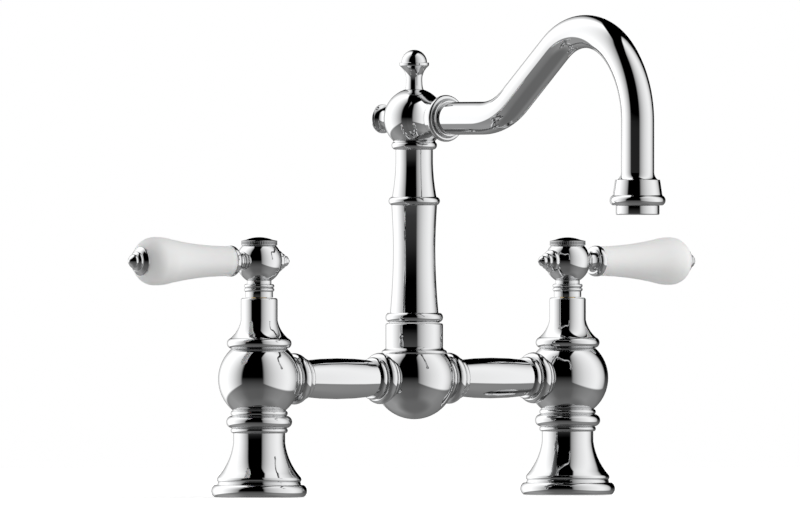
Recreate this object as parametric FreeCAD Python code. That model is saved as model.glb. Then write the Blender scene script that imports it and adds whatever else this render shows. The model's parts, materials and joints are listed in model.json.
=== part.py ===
import FreeCAD, Part
import math
import os
from FreeCAD import Rotation, Vector

# Bridge kitchen faucet: two lever valves on turned feet, joined by a bridge, with a swivelling
# column and swan-neck spout in the middle. Millimetres, +Z up. The origin lies on the deck,
# midway between the two valve axes. The spout reaches towards -Y and the levers point outwards.

# ---------------------------------------------------------------- driving sizes: layout
VALVE_SPACING = 203.2          # between the valve axes, the usual 8 inch pattern
SEAT_FIT = 0.05                # between pieces that screw or push together
RUNNING_FIT = 0.1              # round a shaft that turns in its bore
TURNING_GAP = 0.3              # between a moving body and what it passes
WATERWAY = 5.5                 # radius of every drilled water passage

# ---------------------------------------------------------------- feet
FOOT_RADIUS = 24.0             # crest of the bottom bead
FOOT_BEAD_BULGE = 1.65
FOOT_BEAD_HEIGHT = 6.1
FOOT_RING_RADIUS = 21.5        # plain ring above the bottom bead
FOOT_RING_BULGE = 0.3
FOOT_RING_HEIGHT = 3.4
FOOT_NECK_RADIUS = 13.0
FOOT_FLARE_HEIGHT = 17.5
FOOT_FLARE_HOLLOW = 1.45
FOOT_NECK_HEIGHT = 4.6
FOOT_WALL = 3.6
FOOT_CAVITY_HEIGHT = 19.0
FOOT_CAVITY_SHOULDER = 7.0
GASKET_RADIUS = 20.0
GASKET_THICKNESS = 1.5

# ---------------------------------------------------------------- neck rings above the feet
NECK_BEAD_RADIUS = 16.5        # crest of the large middle bead
NECK_BEAD_HEIGHT = 6.1
NECK_BEAD_BULGE = 2.7
NECK_STEP_RADIUS = 14.3        # crest of the small bead on each side of it
NECK_STEP_HEIGHT = 2.5
NECK_STEP_BULGE = 0.7
NECK_RING_FOOT = 0.5           # plain band on which the ring stands

# ---------------------------------------------------------------- valve bodies
BALL_RADIUS = 20.6             # all three balls of the bridge
SHANK_RADIUS = 11.4
NECK_RADIUS = 13.4
NECK_LENGTH = 0.35
INLET_RADIUS = 7.5             # tapped bore of the water inlet
INLET_DEPTH = 14.0
CHAMBER_RADIUS = 9.95
CHAMBER_DEPTH = 23.3

# ---------------------------------------------------------------- bonnets
BONNET_SEAT_RADIUS = 13.8      # where the bonnet stands on the ball
BONNET_RIM_RADIUS = 14.3
BONNET_LIP_BULGE = 1.8
BONNET_WAIST_RADIUS = 14.5
BONNET_LIP_HEIGHT = 5.1
BONNET_FLARE_HEIGHT = 9.0
BONNET_FLARE_HOLLOW = 0.9
BONNET_NECK_RADIUS = 9.2
BONNET_HEIGHT = 25.3
BONNET_EDGE = 0.9
BONNET_CAVITY_RADIUS = 12.0
BONNET_CAVITY_HEIGHT = 3.6
BONNET_CONE_HEIGHT = 5.0
BONNET_ROOF = 3.8

# ---------------------------------------------------------------- ceramic cartridges
CAGE_WALL = 1.6
CAGE_FOOT_GAP = 0.3
SEAL_THICKNESS = 1.8
DISC_THICKNESS = 2.5
DISC_GAP = 0.05                # lapped faces of the two discs
DISC_HOLE_RADIUS = 2.2
DISC_HOLE_OFFSET = 4.6
DRIVER_HEIGHT = 2.5
CAGE_WINDOW_WIDTH = 8.0
CARTRIDGE_HEX = 20.0           # across flats
CARTRIDGE_HEX_HEIGHT = 3.0
CARTRIDGE_NECK_RADIUS = 6.6
CARTRIDGE_NECK_HEIGHT = 8.0
SPINDLE_RADIUS = 4.0
DRIVE_SQUARE = 5.6             # squared top of the spindle
DRIVE_LENGTH = 13.1
SCREW_RADIUS = 1.9
SCREW_LENGTH = 14.0
SCREW_HEAD_RADIUS = 3.6
SCREW_HEAD_HEIGHT = 2.4
SCREW_SLOT_WIDTH = 0.9
SCREW_SLOT_DEPTH = 1.1

# ---------------------------------------------------------------- lever hubs
HUB_SKIRT_RADIUS = 6.9
HUB_SKIRT_HEIGHT = 2.9
HUB_RIB_RADIUS = 7.6           # crest of the two ribs under the hub
HUB_RIB_BULGE = 0.9
HUB_RIB_HEIGHT = 1.9
HUB_NECK_RADIUS = 6.1
HUB_NECK_HEIGHT = 1.8
HUB_BALL_RADIUS = 11.5
HUB_TOP_RADIUS = 8.4           # flat on which the cap stands
HUB_FLOOR = 4.0                # metal between the drive socket and the screw head
HUB_COUNTERBORE = 4.1
CAP_RADIUS = 9.05
CAP_RIM_HEIGHT = 2.4
CAP_EDGE = 0.3
CAP_SLOPE_RISE = 0.5           # from the rim up to the dome's edge
CAP_DOME_RADIUS = 6.6
CAP_DOME_RISE = 1.3
CAP_PLUG_LENGTH = 4.6

# ---------------------------------------------------------------- levers
LEVER_SEAT_RADIUS = 4.4        # spot face on the hub ball
ROD_RADIUS = 2.5
ROD_THREAD_RADIUS = 3.0
ROD_START = 5.3                # distance from the hub axis
FERRULE_COLLAR_RADIUS = 4.6
FERRULE_COLLAR_BULGE = 0.25
FERRULE_COLLAR_LENGTH = 1.1
FERRULE_NECK_RADIUS = 4.1      # neck and the root of the small bead on it
FERRULE_GROOVE_LENGTH = 0.3    # neck shown on each side of the bead
FERRULE_BEAD_BULGE = 0.3
FERRULE_BEAD_LENGTH = 1.1
FERRULE_FLARE_RADIUS = 5.6
FERRULE_FLARE_LENGTH = 3.2
FERRULE_FLARE_HOLLOW = 0.4
FERRULE_RIM_FOOT = 5.9         # small step from the flare to the rounded rim
FERRULE_RIM_LENGTH = 2.0
FERRULE_RIM_BULGE = 0.55
FERRULE_LIP_RADIUS = 7.8
FERRULE_LIP_LENGTH = 1.3
FERRULE_RECESS = 2.0
GRIP_SPIGOT_RADIUS = 6.3
GRIP_THIN_RADIUS = 7.5
GRIP_COLLAR_LENGTH = 4.0
GRIP_SHOULDER_RADIUS = 10.9
GRIP_SHOULDER_AT = 38.1        # distance from the ferrule's mouth
GRIP_HOLLOW = 0.67
GRIP_FAT_RADIUS = 12.1
GRIP_FAT_AT = 48.0
GRIP_FAT_BULGE = 0.35
GRIP_LENGTH = 56.8
GRIP_END_BULGE = 1.45
GRIP_BORE = 2.8

# ---------------------------------------------------------------- finials on hub and grip
END_FINIAL_RADIUS = 7.0
REAR_FINIAL_RADIUS = 5.7
REAR_FINIAL_BASE = 1.6         # plain base under the steps, on the hub only
FINIAL_LEDGE_RADIUS = 5.1
FINIAL_LEDGE_RISE = 2.0
FINIAL_LEDGE_BULGE = 0.35
FINIAL_STEP_RADIUS = 4.7
FINIAL_STEP_FOOT = 0.5
FINIAL_STEP_EDGE_RADIUS = 3.4
FINIAL_STEP_RISE = 1.9
FINIAL_STEP_BULGE = 0.4
FINIAL_NOSE_RADIUS = 3.0
FINIAL_NOSE_FOOT = 0.4
FINIAL_NOSE_RISE = 2.8
FINIAL_NOSE_BULGE = 0.25
FINIAL_TIP_RADIUS = 1.2
FINIAL_TIP_RISE = 0.45
FINIAL_STUB_LENGTH = 3.6

# ---------------------------------------------------------------- bridge
COLLAR_SEAT_RADIUS = 10.5      # spot face on each ball
COLLAR_NECK_LENGTH = 2.1
COLLAR_NECK_BULGE = 0.4
COLLAR_BEAD_ROOT = 11.2
COLLAR_BEAD_LENGTH = 5.6
COLLAR_BEAD_BULGE = 1.7
COLLAR_RING_RADIUS = 10.0
COLLAR_RING_LENGTH = 3.35
COLLAR_RING_BULGE = 0.7
COLLAR_SPIGOT_RADIUS = 8.0
COLLAR_SPIGOT_LENGTH = 5.7
TUBE_END_RADIUS = 9.1
TUBE_SWELL = 1.15               # how far the barrel swells at its middle
TUBE_SPIGOT_RADIUS = 7.3
TUBE_SPIGOT_LENGTH = 7.0
BRIDGE_RING_WIRE = 0.55        # wire radius of the bridge's rubber rings

# ---------------------------------------------------------------- centre body and swivel
CENTRE_SHOULDER_RADIUS = 16.6
CENTRE_SHOULDER_HEIGHT = 4.1
CENTRE_SHOULDER_BULGE = 0.3
CENTRE_NECK_RADIUS = 14.5
CENTRE_NECK_HEIGHT = 11.45
CENTRE_EDGE = 0.8
SWIVEL_RADIUS = 10.2           # shank on which the column turns
SWIVEL_LENGTH = 20.0
SWIVEL_RING_WIRE = 1.2
SWIVEL_RING_DEPTHS = (5.0, 10.0)
CLIP_RISE = 4.0                # above the shank's lower end
CLIP_THICKNESS = 1.6
CLIP_REACH = 1.1               # how far the clip stands out of the shank
CLIP_OPENING = 50.0            # degrees

# ---------------------------------------------------------------- column
COLUMN_BORE = 6.0
COLUMN_GROOVE_RADIUS = 12.8
COLUMN_GROOVE_HEIGHT = 0.5
COLUMN_BASE_BEAD_ROOT = 13.3
COLUMN_BASE_BEAD_BULGE = 1.2
COLUMN_BASE_BEAD_HEIGHT = 4.4
COLUMN_LOWER_RADIUS = 12.2
COLUMN_WAIST_RADIUS = 10.6
COLUMN_WAIST_RISE = 32.75
COLUMN_UPPER_RADIUS = 11.5
COLUMN_UPPER_RISE = 21.7
COLUMN_HOLLOW = 0.36
COLUMN_UPPER_HOLLOW = 0.15
COLUMN_MIDDLE_BEAD_BULGE = 1.45
COLUMN_MIDDLE_BEAD_HEIGHT = 4.1
COLUMN_SHOULDER_RADIUS = 11.2
COLUMN_TAPER_HEIGHT = 16.95
COLUMN_TAPER_HOLLOW = 0.35
COLUMN_TOP_RADIUS = 9.4
COLUMN_TOP_HEIGHT = 7.0
COLUMN_TOP_BEAD_ROOT = 9.9
COLUMN_TOP_BEAD_BULGE = 1.2
COLUMN_TOP_BEAD_HEIGHT = 3.8
COLUMN_COLLAR_RADIUS = 10.6
COLUMN_COLLAR_HEIGHT = 0.6

# ---------------------------------------------------------------- top ball
TOP_BALL_RADIUS = 15.4
NIPPLE_RADIUS = 7.5
NIPPLE_LENGTH = 8.0
PLUG_FOOT_RADIUS = 5.6         # waisted knob on the back of the ball
PLUG_FOOT_LENGTH = 3.0
PLUG_FOOT_HOLLOW = 0.3
PLUG_WAIST_RADIUS = 4.4
PLUG_WAIST_LENGTH = 2.6
PLUG_FLARE_LENGTH = 4.3
PLUG_FLARE_HOLLOW = 0.8
PLUG_RIM_RADIUS = 7.3
PLUG_RIM_LENGTH = 0.9
PLUG_DOME_RISE = 2.2
PLUG_STUB_RADIUS = 4.0
PLUG_STUB_LENGTH = 4.5
STEM_FOOT_RADIUS = 4.7
STEM_FOOT_HEIGHT = 3.0
STEM_FOOT_HOLLOW = 0.15
STEM_LOW_RADIUS = 4.1
STEM_WAIST_RADIUS = 4.0
STEM_WAIST_HEIGHT = 1.6
STEM_CUP_RADIUS = 7.45
STEM_CUP_HEIGHT = 7.5
STEM_CUP_HOLLOW = 1.0
STEM_LIP = 1.5
STEM_BALL_RADIUS = 6.45
STEM_STUB_RADIUS = 2.0
STEM_STUB_LENGTH = 5.0

# ---------------------------------------------------------------- spout
SPOUT_SEAT_RADIUS = 9.4        # end of the boss on the front of the top ball
SPOUT_BOSS_RADIUS = 12.5       # where the boss grows out of the ball
SPOUT_BOSS_ROOT = 1.0          # how far it starts inside the ball
SPOUT_BOSS_HOLLOW = 0.75
SPOUT_BOSS_LENGTH = 6.6        # past the ball's own circle of the seat's radius
SPOUT_SPIGOT_RADIUS = 7.0
SPOUT_SPIGOT_LENGTH = 4.5
SPOUT_NECK_LENGTH = 2.8
SPOUT_FLARE_LENGTH = 1.6
SPOUT_BEAD_ROOT = 10.8
SPOUT_BEAD_BULGE = 1.0
SPOUT_BEAD_LENGTH = 3.0
SPOUT_DISH_RADIUS = 10.1
SPOUT_DISH_DEPTH = 0.7
SPOUT_RING_RADIUS = 9.0
SPOUT_RING_BULGE = 0.35
SPOUT_RING_LENGTH = 2.4
SPOUT_SOCKET_LENGTH = 6.5
SPOUT_RADIUS = 8.25
SPOUT_WALL = 1.5
SPOUT_STRAIGHT = 25.8          # from the collar's mouth to the first bend
SPOUT_CLIMB = 39.3             # degrees
SPOUT_LOWER_BEND = 38.8
SPOUT_INCLINE = 41.0
SPOUT_TOP_BEND = 36.6
SPOUT_TOP_SWEEP = 84.6         # degrees over which the top keeps its tighter radius
SPOUT_DROP_BEND = 48.7
SPOUT_DROP = 25.75

# ---------------------------------------------------------------- nozzle and aerator
NOZZLE_SPIGOT_LENGTH = 5.0
NOZZLE_CONE_HEIGHT = 3.4
NOZZLE_CONE_RADIUS = 10.1
NOZZLE_CONE_HOLLOW = 0.4
NOZZLE_BELL_TOP = 11.2
NOZZLE_BELL_BOTTOM = 12.35
NOZZLE_BELL_HEIGHT = 7.8
NOZZLE_BEAD_HEIGHT = 5.0
NOZZLE_BEAD_BULGE = 1.6
NOZZLE_MOUTH_HEIGHT = 6.6
AERATOR_THREAD_RADIUS = 10.3
AERATOR_RADIUS = 10.9
AERATOR_DROP = 4.7
AERATOR_EDGE = 0.4
AERATOR_LIP = 1.0
AERATOR_BORE = 9.0
WASHER_THICKNESS = 1.5
WASHER_BORE = 7.0
SCREEN_HOLE_RADIUS = 0.7
SCREEN_RING_RADIUS = 3.0       # the outer ring has twice the radius and the holes


# ---------------------------------------------------------------- turning and placing
UP = Vector(0, 0, 1)
DECK = Vector(0, 0, 0)


def outline_edges(points):
    """Edges through (radius, height, bulge) points; a bulge bows the run out, or in if negative."""
    edges = []
    for start, end in zip(points, points[1:]):
        first = Vector(start[0], 0, start[1])
        last = Vector(end[0], 0, end[1])
        bulge = end[2] if len(end) > 2 else 0.0
        if bulge:
            run = last - first
            outward = Vector(run.z, 0, -run.x).multiply(bulge / run.Length)
            edges.append(Part.Arc(first, (first + last) * 0.5 + outward, last).toShape())
        else:
            edges.append(Part.LineSegment(first, last).toShape())
    return edges


def turned(outside, inside=None):
    """A turned piece: its outside from bottom to top, and its bore from bottom to top if it has one."""
    if inside is None:
        inside = [(0.0, outside[0][1]), (0.0, outside[-1][1])]
    edges = outline_edges(outside) + outline_edges(inside)
    for one, other in ((outside[0], inside[0]), (outside[-1], inside[-1])):
        if math.dist(one[:2], other[:2]) > 1e-6:
            edges += outline_edges([one[:2], other[:2]])
    face = Part.Face(Part.Wire(Part.__sortEdges__(edges)))
    return face.revolve(DECK, UP, 360)


def rod(radius, bottom, top):
    return Part.makeCylinder(radius, top - bottom, Vector(0, 0, bottom))


def prism(across_flats, sides, bottom, top):
    """A regular prism about the Z axis."""
    corner = across_flats / 2 / math.cos(math.pi / sides)
    turns = [math.pi * (2 * step + 1) / sides for step in range(sides + 1)]
    points = [Vector(corner * math.cos(turn), corner * math.sin(turn), bottom) for turn in turns]
    return Part.Face(Part.makePolygon(points)).extrude(Vector(0, 0, top - bottom))


def rubber_ring(centre_radius, wire_radius, height):
    return Part.makeTorus(centre_radius, wire_radius, Vector(0, 0, height))


def placed(shape, origin, direction=UP):
    """The shape with its own origin moved to origin and its +Z turned towards direction."""
    moved = shape.copy()
    moved.Placement = FreeCAD.Placement(origin, Rotation(UP, direction))
    return moved


def ball_height(ball_radius, ring_radius):
    """How far from a ball's centre it has this smaller radius."""
    return math.sqrt(ball_radius ** 2 - ring_radius ** 2)


def on_ball(ball_radius, start, end):
    """The outline point that ends an arc of the ball's own radius."""
    half_chord = math.dist(start, end) / 2
    return (end[0], end[1], ball_radius - math.sqrt(ball_radius ** 2 - half_chord ** 2))


def dome(start, rise):
    """The outline point at the middle of a round dome that stands this high on its edge."""
    ball_radius = (start[0] ** 2 + rise ** 2) / (2 * rise)
    return on_ball(ball_radius, start, (0.0, start[1] + rise))


# ---------------------------------------------------------------- heights worked out from the sizes
FOOT_RING_TOP = FOOT_BEAD_HEIGHT + FOOT_RING_HEIGHT
FOOT_TOP = FOOT_RING_TOP + FOOT_FLARE_HEIGHT + FOOT_NECK_HEIGHT
NECK_RING_TOP = FOOT_TOP + NECK_RING_FOOT + 2 * NECK_STEP_HEIGHT + NECK_BEAD_HEIGHT
BALL_Z = NECK_RING_TOP + NECK_LENGTH + ball_height(BALL_RADIUS, NECK_RADIUS)
BONNET_SEAT_Z = BALL_Z + ball_height(BALL_RADIUS, BONNET_SEAT_RADIUS)
BONNET_TOP = BONNET_SEAT_Z + BONNET_HEIGHT
CHAMBER_FLOOR = BONNET_SEAT_Z - CHAMBER_DEPTH
FIXED_DISC_Z = CHAMBER_FLOOR + SEAL_THICKNESS
TURNING_DISC_Z = FIXED_DISC_Z + DISC_THICKNESS + DISC_GAP
DRIVER_Z = TURNING_DISC_Z + DISC_THICKNESS
HUB_BASE = BONNET_TOP + TURNING_GAP
HUB_NECK_TOP = HUB_BASE + HUB_SKIRT_HEIGHT + 2 * HUB_RIB_HEIGHT + HUB_NECK_HEIGHT
HUB_Z = HUB_NECK_TOP + ball_height(HUB_BALL_RADIUS, HUB_NECK_RADIUS)
HUB_TOP = HUB_Z + ball_height(HUB_BALL_RADIUS, HUB_TOP_RADIUS)
DRIVE_TOP = HUB_BASE + DRIVE_LENGTH
SCREW_SEAT = DRIVE_TOP + TURNING_GAP + HUB_FLOOR

LEVER_SEAT = ball_height(HUB_BALL_RADIUS, LEVER_SEAT_RADIUS)
FERRULE_BEAD_START = FERRULE_COLLAR_LENGTH + FERRULE_GROOVE_LENGTH
FERRULE_FLARE_START = FERRULE_BEAD_START + FERRULE_BEAD_LENGTH + FERRULE_GROOVE_LENGTH
FERRULE_RIM_START = FERRULE_FLARE_START + FERRULE_FLARE_LENGTH
FERRULE_LENGTH = FERRULE_RIM_START + FERRULE_RIM_LENGTH + FERRULE_LIP_LENGTH
GRIP_START = LEVER_SEAT + FERRULE_LENGTH
GRIP_END = GRIP_START + GRIP_LENGTH
FINIAL_SEAT = ball_height(HUB_BALL_RADIUS, REAR_FINIAL_RADIUS)

COLLAR_SEAT = ball_height(BALL_RADIUS, COLLAR_SEAT_RADIUS)
COLLAR_LENGTH = COLLAR_NECK_LENGTH + COLLAR_BEAD_LENGTH + COLLAR_RING_LENGTH
TUBE_LENGTH = VALVE_SPACING / 2 - 2 * (COLLAR_SEAT + COLLAR_LENGTH)

CENTRE_TOP = (BALL_Z + ball_height(BALL_RADIUS, CENTRE_SHOULDER_RADIUS)
              + CENTRE_SHOULDER_HEIGHT + CENTRE_NECK_HEIGHT)
COLUMN_BASE = CENTRE_TOP + TURNING_GAP
COLUMN_BODY = COLUMN_BASE + COLUMN_GROOVE_HEIGHT + COLUMN_BASE_BEAD_HEIGHT
COLUMN_WAIST = COLUMN_BODY + COLUMN_WAIST_RISE
COLUMN_MIDDLE = COLUMN_WAIST + COLUMN_UPPER_RISE
COLUMN_SHOULDER = COLUMN_MIDDLE + COLUMN_MIDDLE_BEAD_HEIGHT
COLUMN_NECK = COLUMN_SHOULDER + COLUMN_TAPER_HEIGHT
COLUMN_TOP_BEAD = COLUMN_NECK + COLUMN_TOP_HEIGHT
COLUMN_TOP = COLUMN_TOP_BEAD + COLUMN_TOP_BEAD_HEIGHT + COLUMN_COLLAR_HEIGHT
SOCKET_RADIUS = SWIVEL_RADIUS + RUNNING_FIT
SOCKET_FLOOR = COLUMN_BASE - SWIVEL_LENGTH - TURNING_GAP
TOP_BALL_Z = COLUMN_TOP + ball_height(TOP_BALL_RADIUS, COLUMN_COLLAR_RADIUS)

SPOUT_SEAT = ball_height(TOP_BALL_RADIUS, SPOUT_SEAT_RADIUS) + SPOUT_BOSS_LENGTH
SPOUT_COLLAR_LENGTH = (SPOUT_NECK_LENGTH + SPOUT_FLARE_LENGTH + SPOUT_BEAD_LENGTH
                       - SPOUT_DISH_DEPTH + SPOUT_RING_LENGTH)
SPOUT_BORE = SPOUT_RADIUS - SPOUT_WALL
NOZZLE_HEIGHT = NOZZLE_CONE_HEIGHT + NOZZLE_BELL_HEIGHT + NOZZLE_BEAD_HEIGHT
SHELL_TOP = NOZZLE_MOUTH_HEIGHT - WASHER_THICKNESS

BRIDGE_PORT = Vector(0, 0, BALL_Z)
FORWARD = Vector(0, -1, 0)
BACKWARD = Vector(0, 1, 0)
OUTWARD = Vector(1, 0, 0)
INWARD = Vector(-1, 0, 0)


# ---------------------------------------------------------------- foot and neck ring
def foot():
    """Bell-shaped foot, hollow below, that stands on the deck round the valve's shank."""
    bead = FOOT_RADIUS - FOOT_BEAD_BULGE
    band = FOOT_RING_RADIUS - FOOT_RING_BULGE
    outside = [
        (bead, 0.0),
        (bead, FOOT_BEAD_HEIGHT, FOOT_BEAD_BULGE),
        (band, FOOT_BEAD_HEIGHT),
        (band, FOOT_RING_TOP, FOOT_RING_BULGE),
        (FOOT_NECK_RADIUS, FOOT_TOP - FOOT_NECK_HEIGHT, -FOOT_FLARE_HOLLOW),
        (FOOT_NECK_RADIUS, FOOT_TOP),
    ]
    recess = GASKET_RADIUS + SEAT_FIT
    cavity = FOOT_RING_RADIUS - FOOT_WALL
    bore = SHANK_RADIUS + SEAT_FIT
    inside = [
        (recess, 0.0),
        (recess, GASKET_THICKNESS),
        (cavity, GASKET_THICKNESS),
        (cavity, FOOT_CAVITY_SHOULDER),
        (bore, FOOT_CAVITY_HEIGHT),
        (bore, FOOT_TOP),
    ]
    return turned(outside, inside)


def foot_gasket():
    """Flat rubber ring in the foot's underside."""
    bore = SHANK_RADIUS + SEAT_FIT
    outside = [(GASKET_RADIUS, 0.0), (GASKET_RADIUS, GASKET_THICKNESS)]
    return turned(outside, [(bore, 0.0), (bore, GASKET_THICKNESS)])


def neck_ring():
    """Three-bead ring between foot and ball."""
    step = NECK_STEP_RADIUS - NECK_STEP_BULGE
    bead = NECK_BEAD_RADIUS - NECK_BEAD_BULGE
    step_base = FOOT_TOP + NECK_RING_FOOT
    bead_base = step_base + NECK_STEP_HEIGHT
    bead_top = bead_base + NECK_BEAD_HEIGHT
    outside = [
        (FOOT_NECK_RADIUS, FOOT_TOP),
        (FOOT_NECK_RADIUS, step_base),
        (step, step_base),
        (step, bead_base, NECK_STEP_BULGE),
        (bead, bead_base),
        (bead, bead_top, NECK_BEAD_BULGE),
        (step, bead_top),
        (step, NECK_RING_TOP, NECK_STEP_BULGE),
    ]
    bore = SHANK_RADIUS + SEAT_FIT
    return turned(outside, [(bore, FOOT_TOP), (bore, NECK_RING_TOP)])


# ---------------------------------------------------------------- valve body and bonnet
def side_port(body, direction):
    """Spot face, collar socket and waterway in the side of one of the bridge's balls."""
    seat = rod(2 * COLLAR_SEAT_RADIUS, COLLAR_SEAT, 2 * BALL_RADIUS)
    socket = rod(COLLAR_SPIGOT_RADIUS + SEAT_FIT, COLLAR_SEAT - COLLAR_SPIGOT_LENGTH, BALL_RADIUS)
    passage = rod(WATERWAY, 0.0, BALL_RADIUS)
    for cutter in (seat, socket, passage):
        body = body.cut(placed(cutter, BRIDGE_PORT, direction))
    return body


def valve_body():
    """Ball with its shank: tapped inlet below, cartridge chamber above, bridge port inwards."""
    ball_foot = (NECK_RADIUS, NECK_RING_TOP + NECK_LENGTH)
    outside = [
        (SHANK_RADIUS, 0.0),
        (SHANK_RADIUS, NECK_RING_TOP),
        (NECK_RADIUS, NECK_RING_TOP),
        ball_foot,
        on_ball(BALL_RADIUS, ball_foot, (BONNET_SEAT_RADIUS, BONNET_SEAT_Z)),
    ]
    inside = [
        (INLET_RADIUS, 0.0),
        (INLET_RADIUS, INLET_DEPTH),
        (WATERWAY, INLET_DEPTH),
        (WATERWAY, CHAMBER_FLOOR),
        (CHAMBER_RADIUS, CHAMBER_FLOOR),
        (CHAMBER_RADIUS, BONNET_SEAT_Z),
    ]
    return side_port(turned(outside, inside), INWARD)


def bonnet():
    """Bell-shaped cover over the cartridge, with a rolled lip."""
    lip_top = BONNET_SEAT_Z + BONNET_LIP_HEIGHT
    outside = [
        (BONNET_RIM_RADIUS, BONNET_SEAT_Z),
        (BONNET_WAIST_RADIUS, lip_top, BONNET_LIP_BULGE),
        (BONNET_NECK_RADIUS, lip_top + BONNET_FLARE_HEIGHT, -BONNET_FLARE_HOLLOW),
        (BONNET_NECK_RADIUS, BONNET_TOP - BONNET_EDGE),
        (BONNET_NECK_RADIUS - BONNET_EDGE, BONNET_TOP, BONNET_EDGE / 4),
    ]
    neck = CARTRIDGE_NECK_RADIUS + SEAT_FIT
    shoulder = BONNET_SEAT_Z + BONNET_CAVITY_HEIGHT
    spindle_hole = SPINDLE_RADIUS + TURNING_GAP
    inside = [
        (BONNET_CAVITY_RADIUS, BONNET_SEAT_Z),
        (BONNET_CAVITY_RADIUS, shoulder),
        (neck, shoulder + BONNET_CONE_HEIGHT),
        (neck, BONNET_TOP - BONNET_ROOF),
        (spindle_hole, BONNET_TOP - BONNET_ROOF),
        (spindle_hole, BONNET_TOP),
    ]
    return turned(outside, inside)


# ---------------------------------------------------------------- cartridge
def cartridge():
    """Brass cartridge: windowed cage below, hexagon on the ball's seat, threaded neck above."""
    cage = CHAMBER_RADIUS - SEAT_FIT
    cage_bore = cage - CAGE_WALL
    shaft = SPINDLE_RADIUS + RUNNING_FIT
    roof = DRIVER_Z + DRIVER_HEIGHT + TURNING_GAP
    neck_base = BONNET_SEAT_Z + CARTRIDGE_HEX_HEIGHT
    outside = [
        (cage, CHAMBER_FLOOR + CAGE_FOOT_GAP),
        (cage, BONNET_SEAT_Z),
        (CARTRIDGE_NECK_RADIUS, BONNET_SEAT_Z),
        (CARTRIDGE_NECK_RADIUS, neck_base + CARTRIDGE_NECK_HEIGHT),
    ]
    inside = [
        (cage_bore, CHAMBER_FLOOR + CAGE_FOOT_GAP),
        (cage_bore, roof),
        (shaft, roof),
        (shaft, neck_base + CARTRIDGE_NECK_HEIGHT),
    ]
    hexagon = prism(CARTRIDGE_HEX, 6, BONNET_SEAT_Z, neck_base)
    hexagon = hexagon.cut(rod(shaft, BONNET_SEAT_Z, neck_base))
    body = turned(outside, inside).fuse(hexagon).removeSplitter()
    window = Part.makeBox(2 * BALL_RADIUS, CAGE_WINDOW_WIDTH, roof - TURNING_DISC_Z)
    window.translate(Vector(-BALL_RADIUS, -CAGE_WINDOW_WIDTH / 2, TURNING_DISC_Z))
    return body.cut(window)


def ceramic_disc(bottom, hole_direction):
    """Lapped ceramic disc with two ports; a quarter turn brings the two discs' ports in line."""
    radius = CHAMBER_RADIUS - SEAT_FIT - CAGE_WALL - TURNING_GAP
    disc = rod(radius, bottom, bottom + DISC_THICKNESS)
    for hand in (1, -1):
        hole = rod(DISC_HOLE_RADIUS, bottom, bottom + DISC_THICKNESS)
        hole.translate(hole_direction * (hand * DISC_HOLE_OFFSET))
        disc = disc.cut(hole)
    return disc


def cartridge_seal():
    """Rubber ring that seals the fixed disc to the chamber floor."""
    radius = CHAMBER_RADIUS - SEAT_FIT - CAGE_WALL - TURNING_GAP
    outside = [(radius, CHAMBER_FLOOR), (radius, FIXED_DISC_Z)]
    return turned(outside, [(WATERWAY, CHAMBER_FLOOR), (WATERWAY, FIXED_DISC_Z)])


def spindle():
    """Spindle that carries the turning disc below and the lever hub on its squared top."""
    driver = CHAMBER_RADIUS - SEAT_FIT - CAGE_WALL - TURNING_GAP
    outside = [
        (driver, DRIVER_Z),
        (driver, DRIVER_Z + DRIVER_HEIGHT),
        (SPINDLE_RADIUS, DRIVER_Z + DRIVER_HEIGHT),
        (SPINDLE_RADIUS, HUB_BASE),
    ]
    body = turned(outside).fuse(prism(DRIVE_SQUARE, 4, HUB_BASE, DRIVE_TOP))
    return body.cut(rod(SCREW_RADIUS + SEAT_FIT, SCREW_SEAT - SCREW_LENGTH - TURNING_GAP, DRIVE_TOP))


def handle_screw():
    """Slotted screw that holds the hub on its spindle."""
    head_top = SCREW_SEAT + SCREW_HEAD_HEIGHT
    outside = [
        (SCREW_RADIUS, SCREW_SEAT - SCREW_LENGTH),
        (SCREW_RADIUS, SCREW_SEAT),
        (SCREW_HEAD_RADIUS, SCREW_SEAT),
        (SCREW_HEAD_RADIUS, head_top),
    ]
    slot = Part.makeBox(4 * SCREW_HEAD_RADIUS, SCREW_SLOT_WIDTH, SCREW_SLOT_DEPTH)
    slot.translate(Vector(-2 * SCREW_HEAD_RADIUS, -SCREW_SLOT_WIDTH / 2, head_top - SCREW_SLOT_DEPTH))
    return turned(outside).cut(slot)


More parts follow.
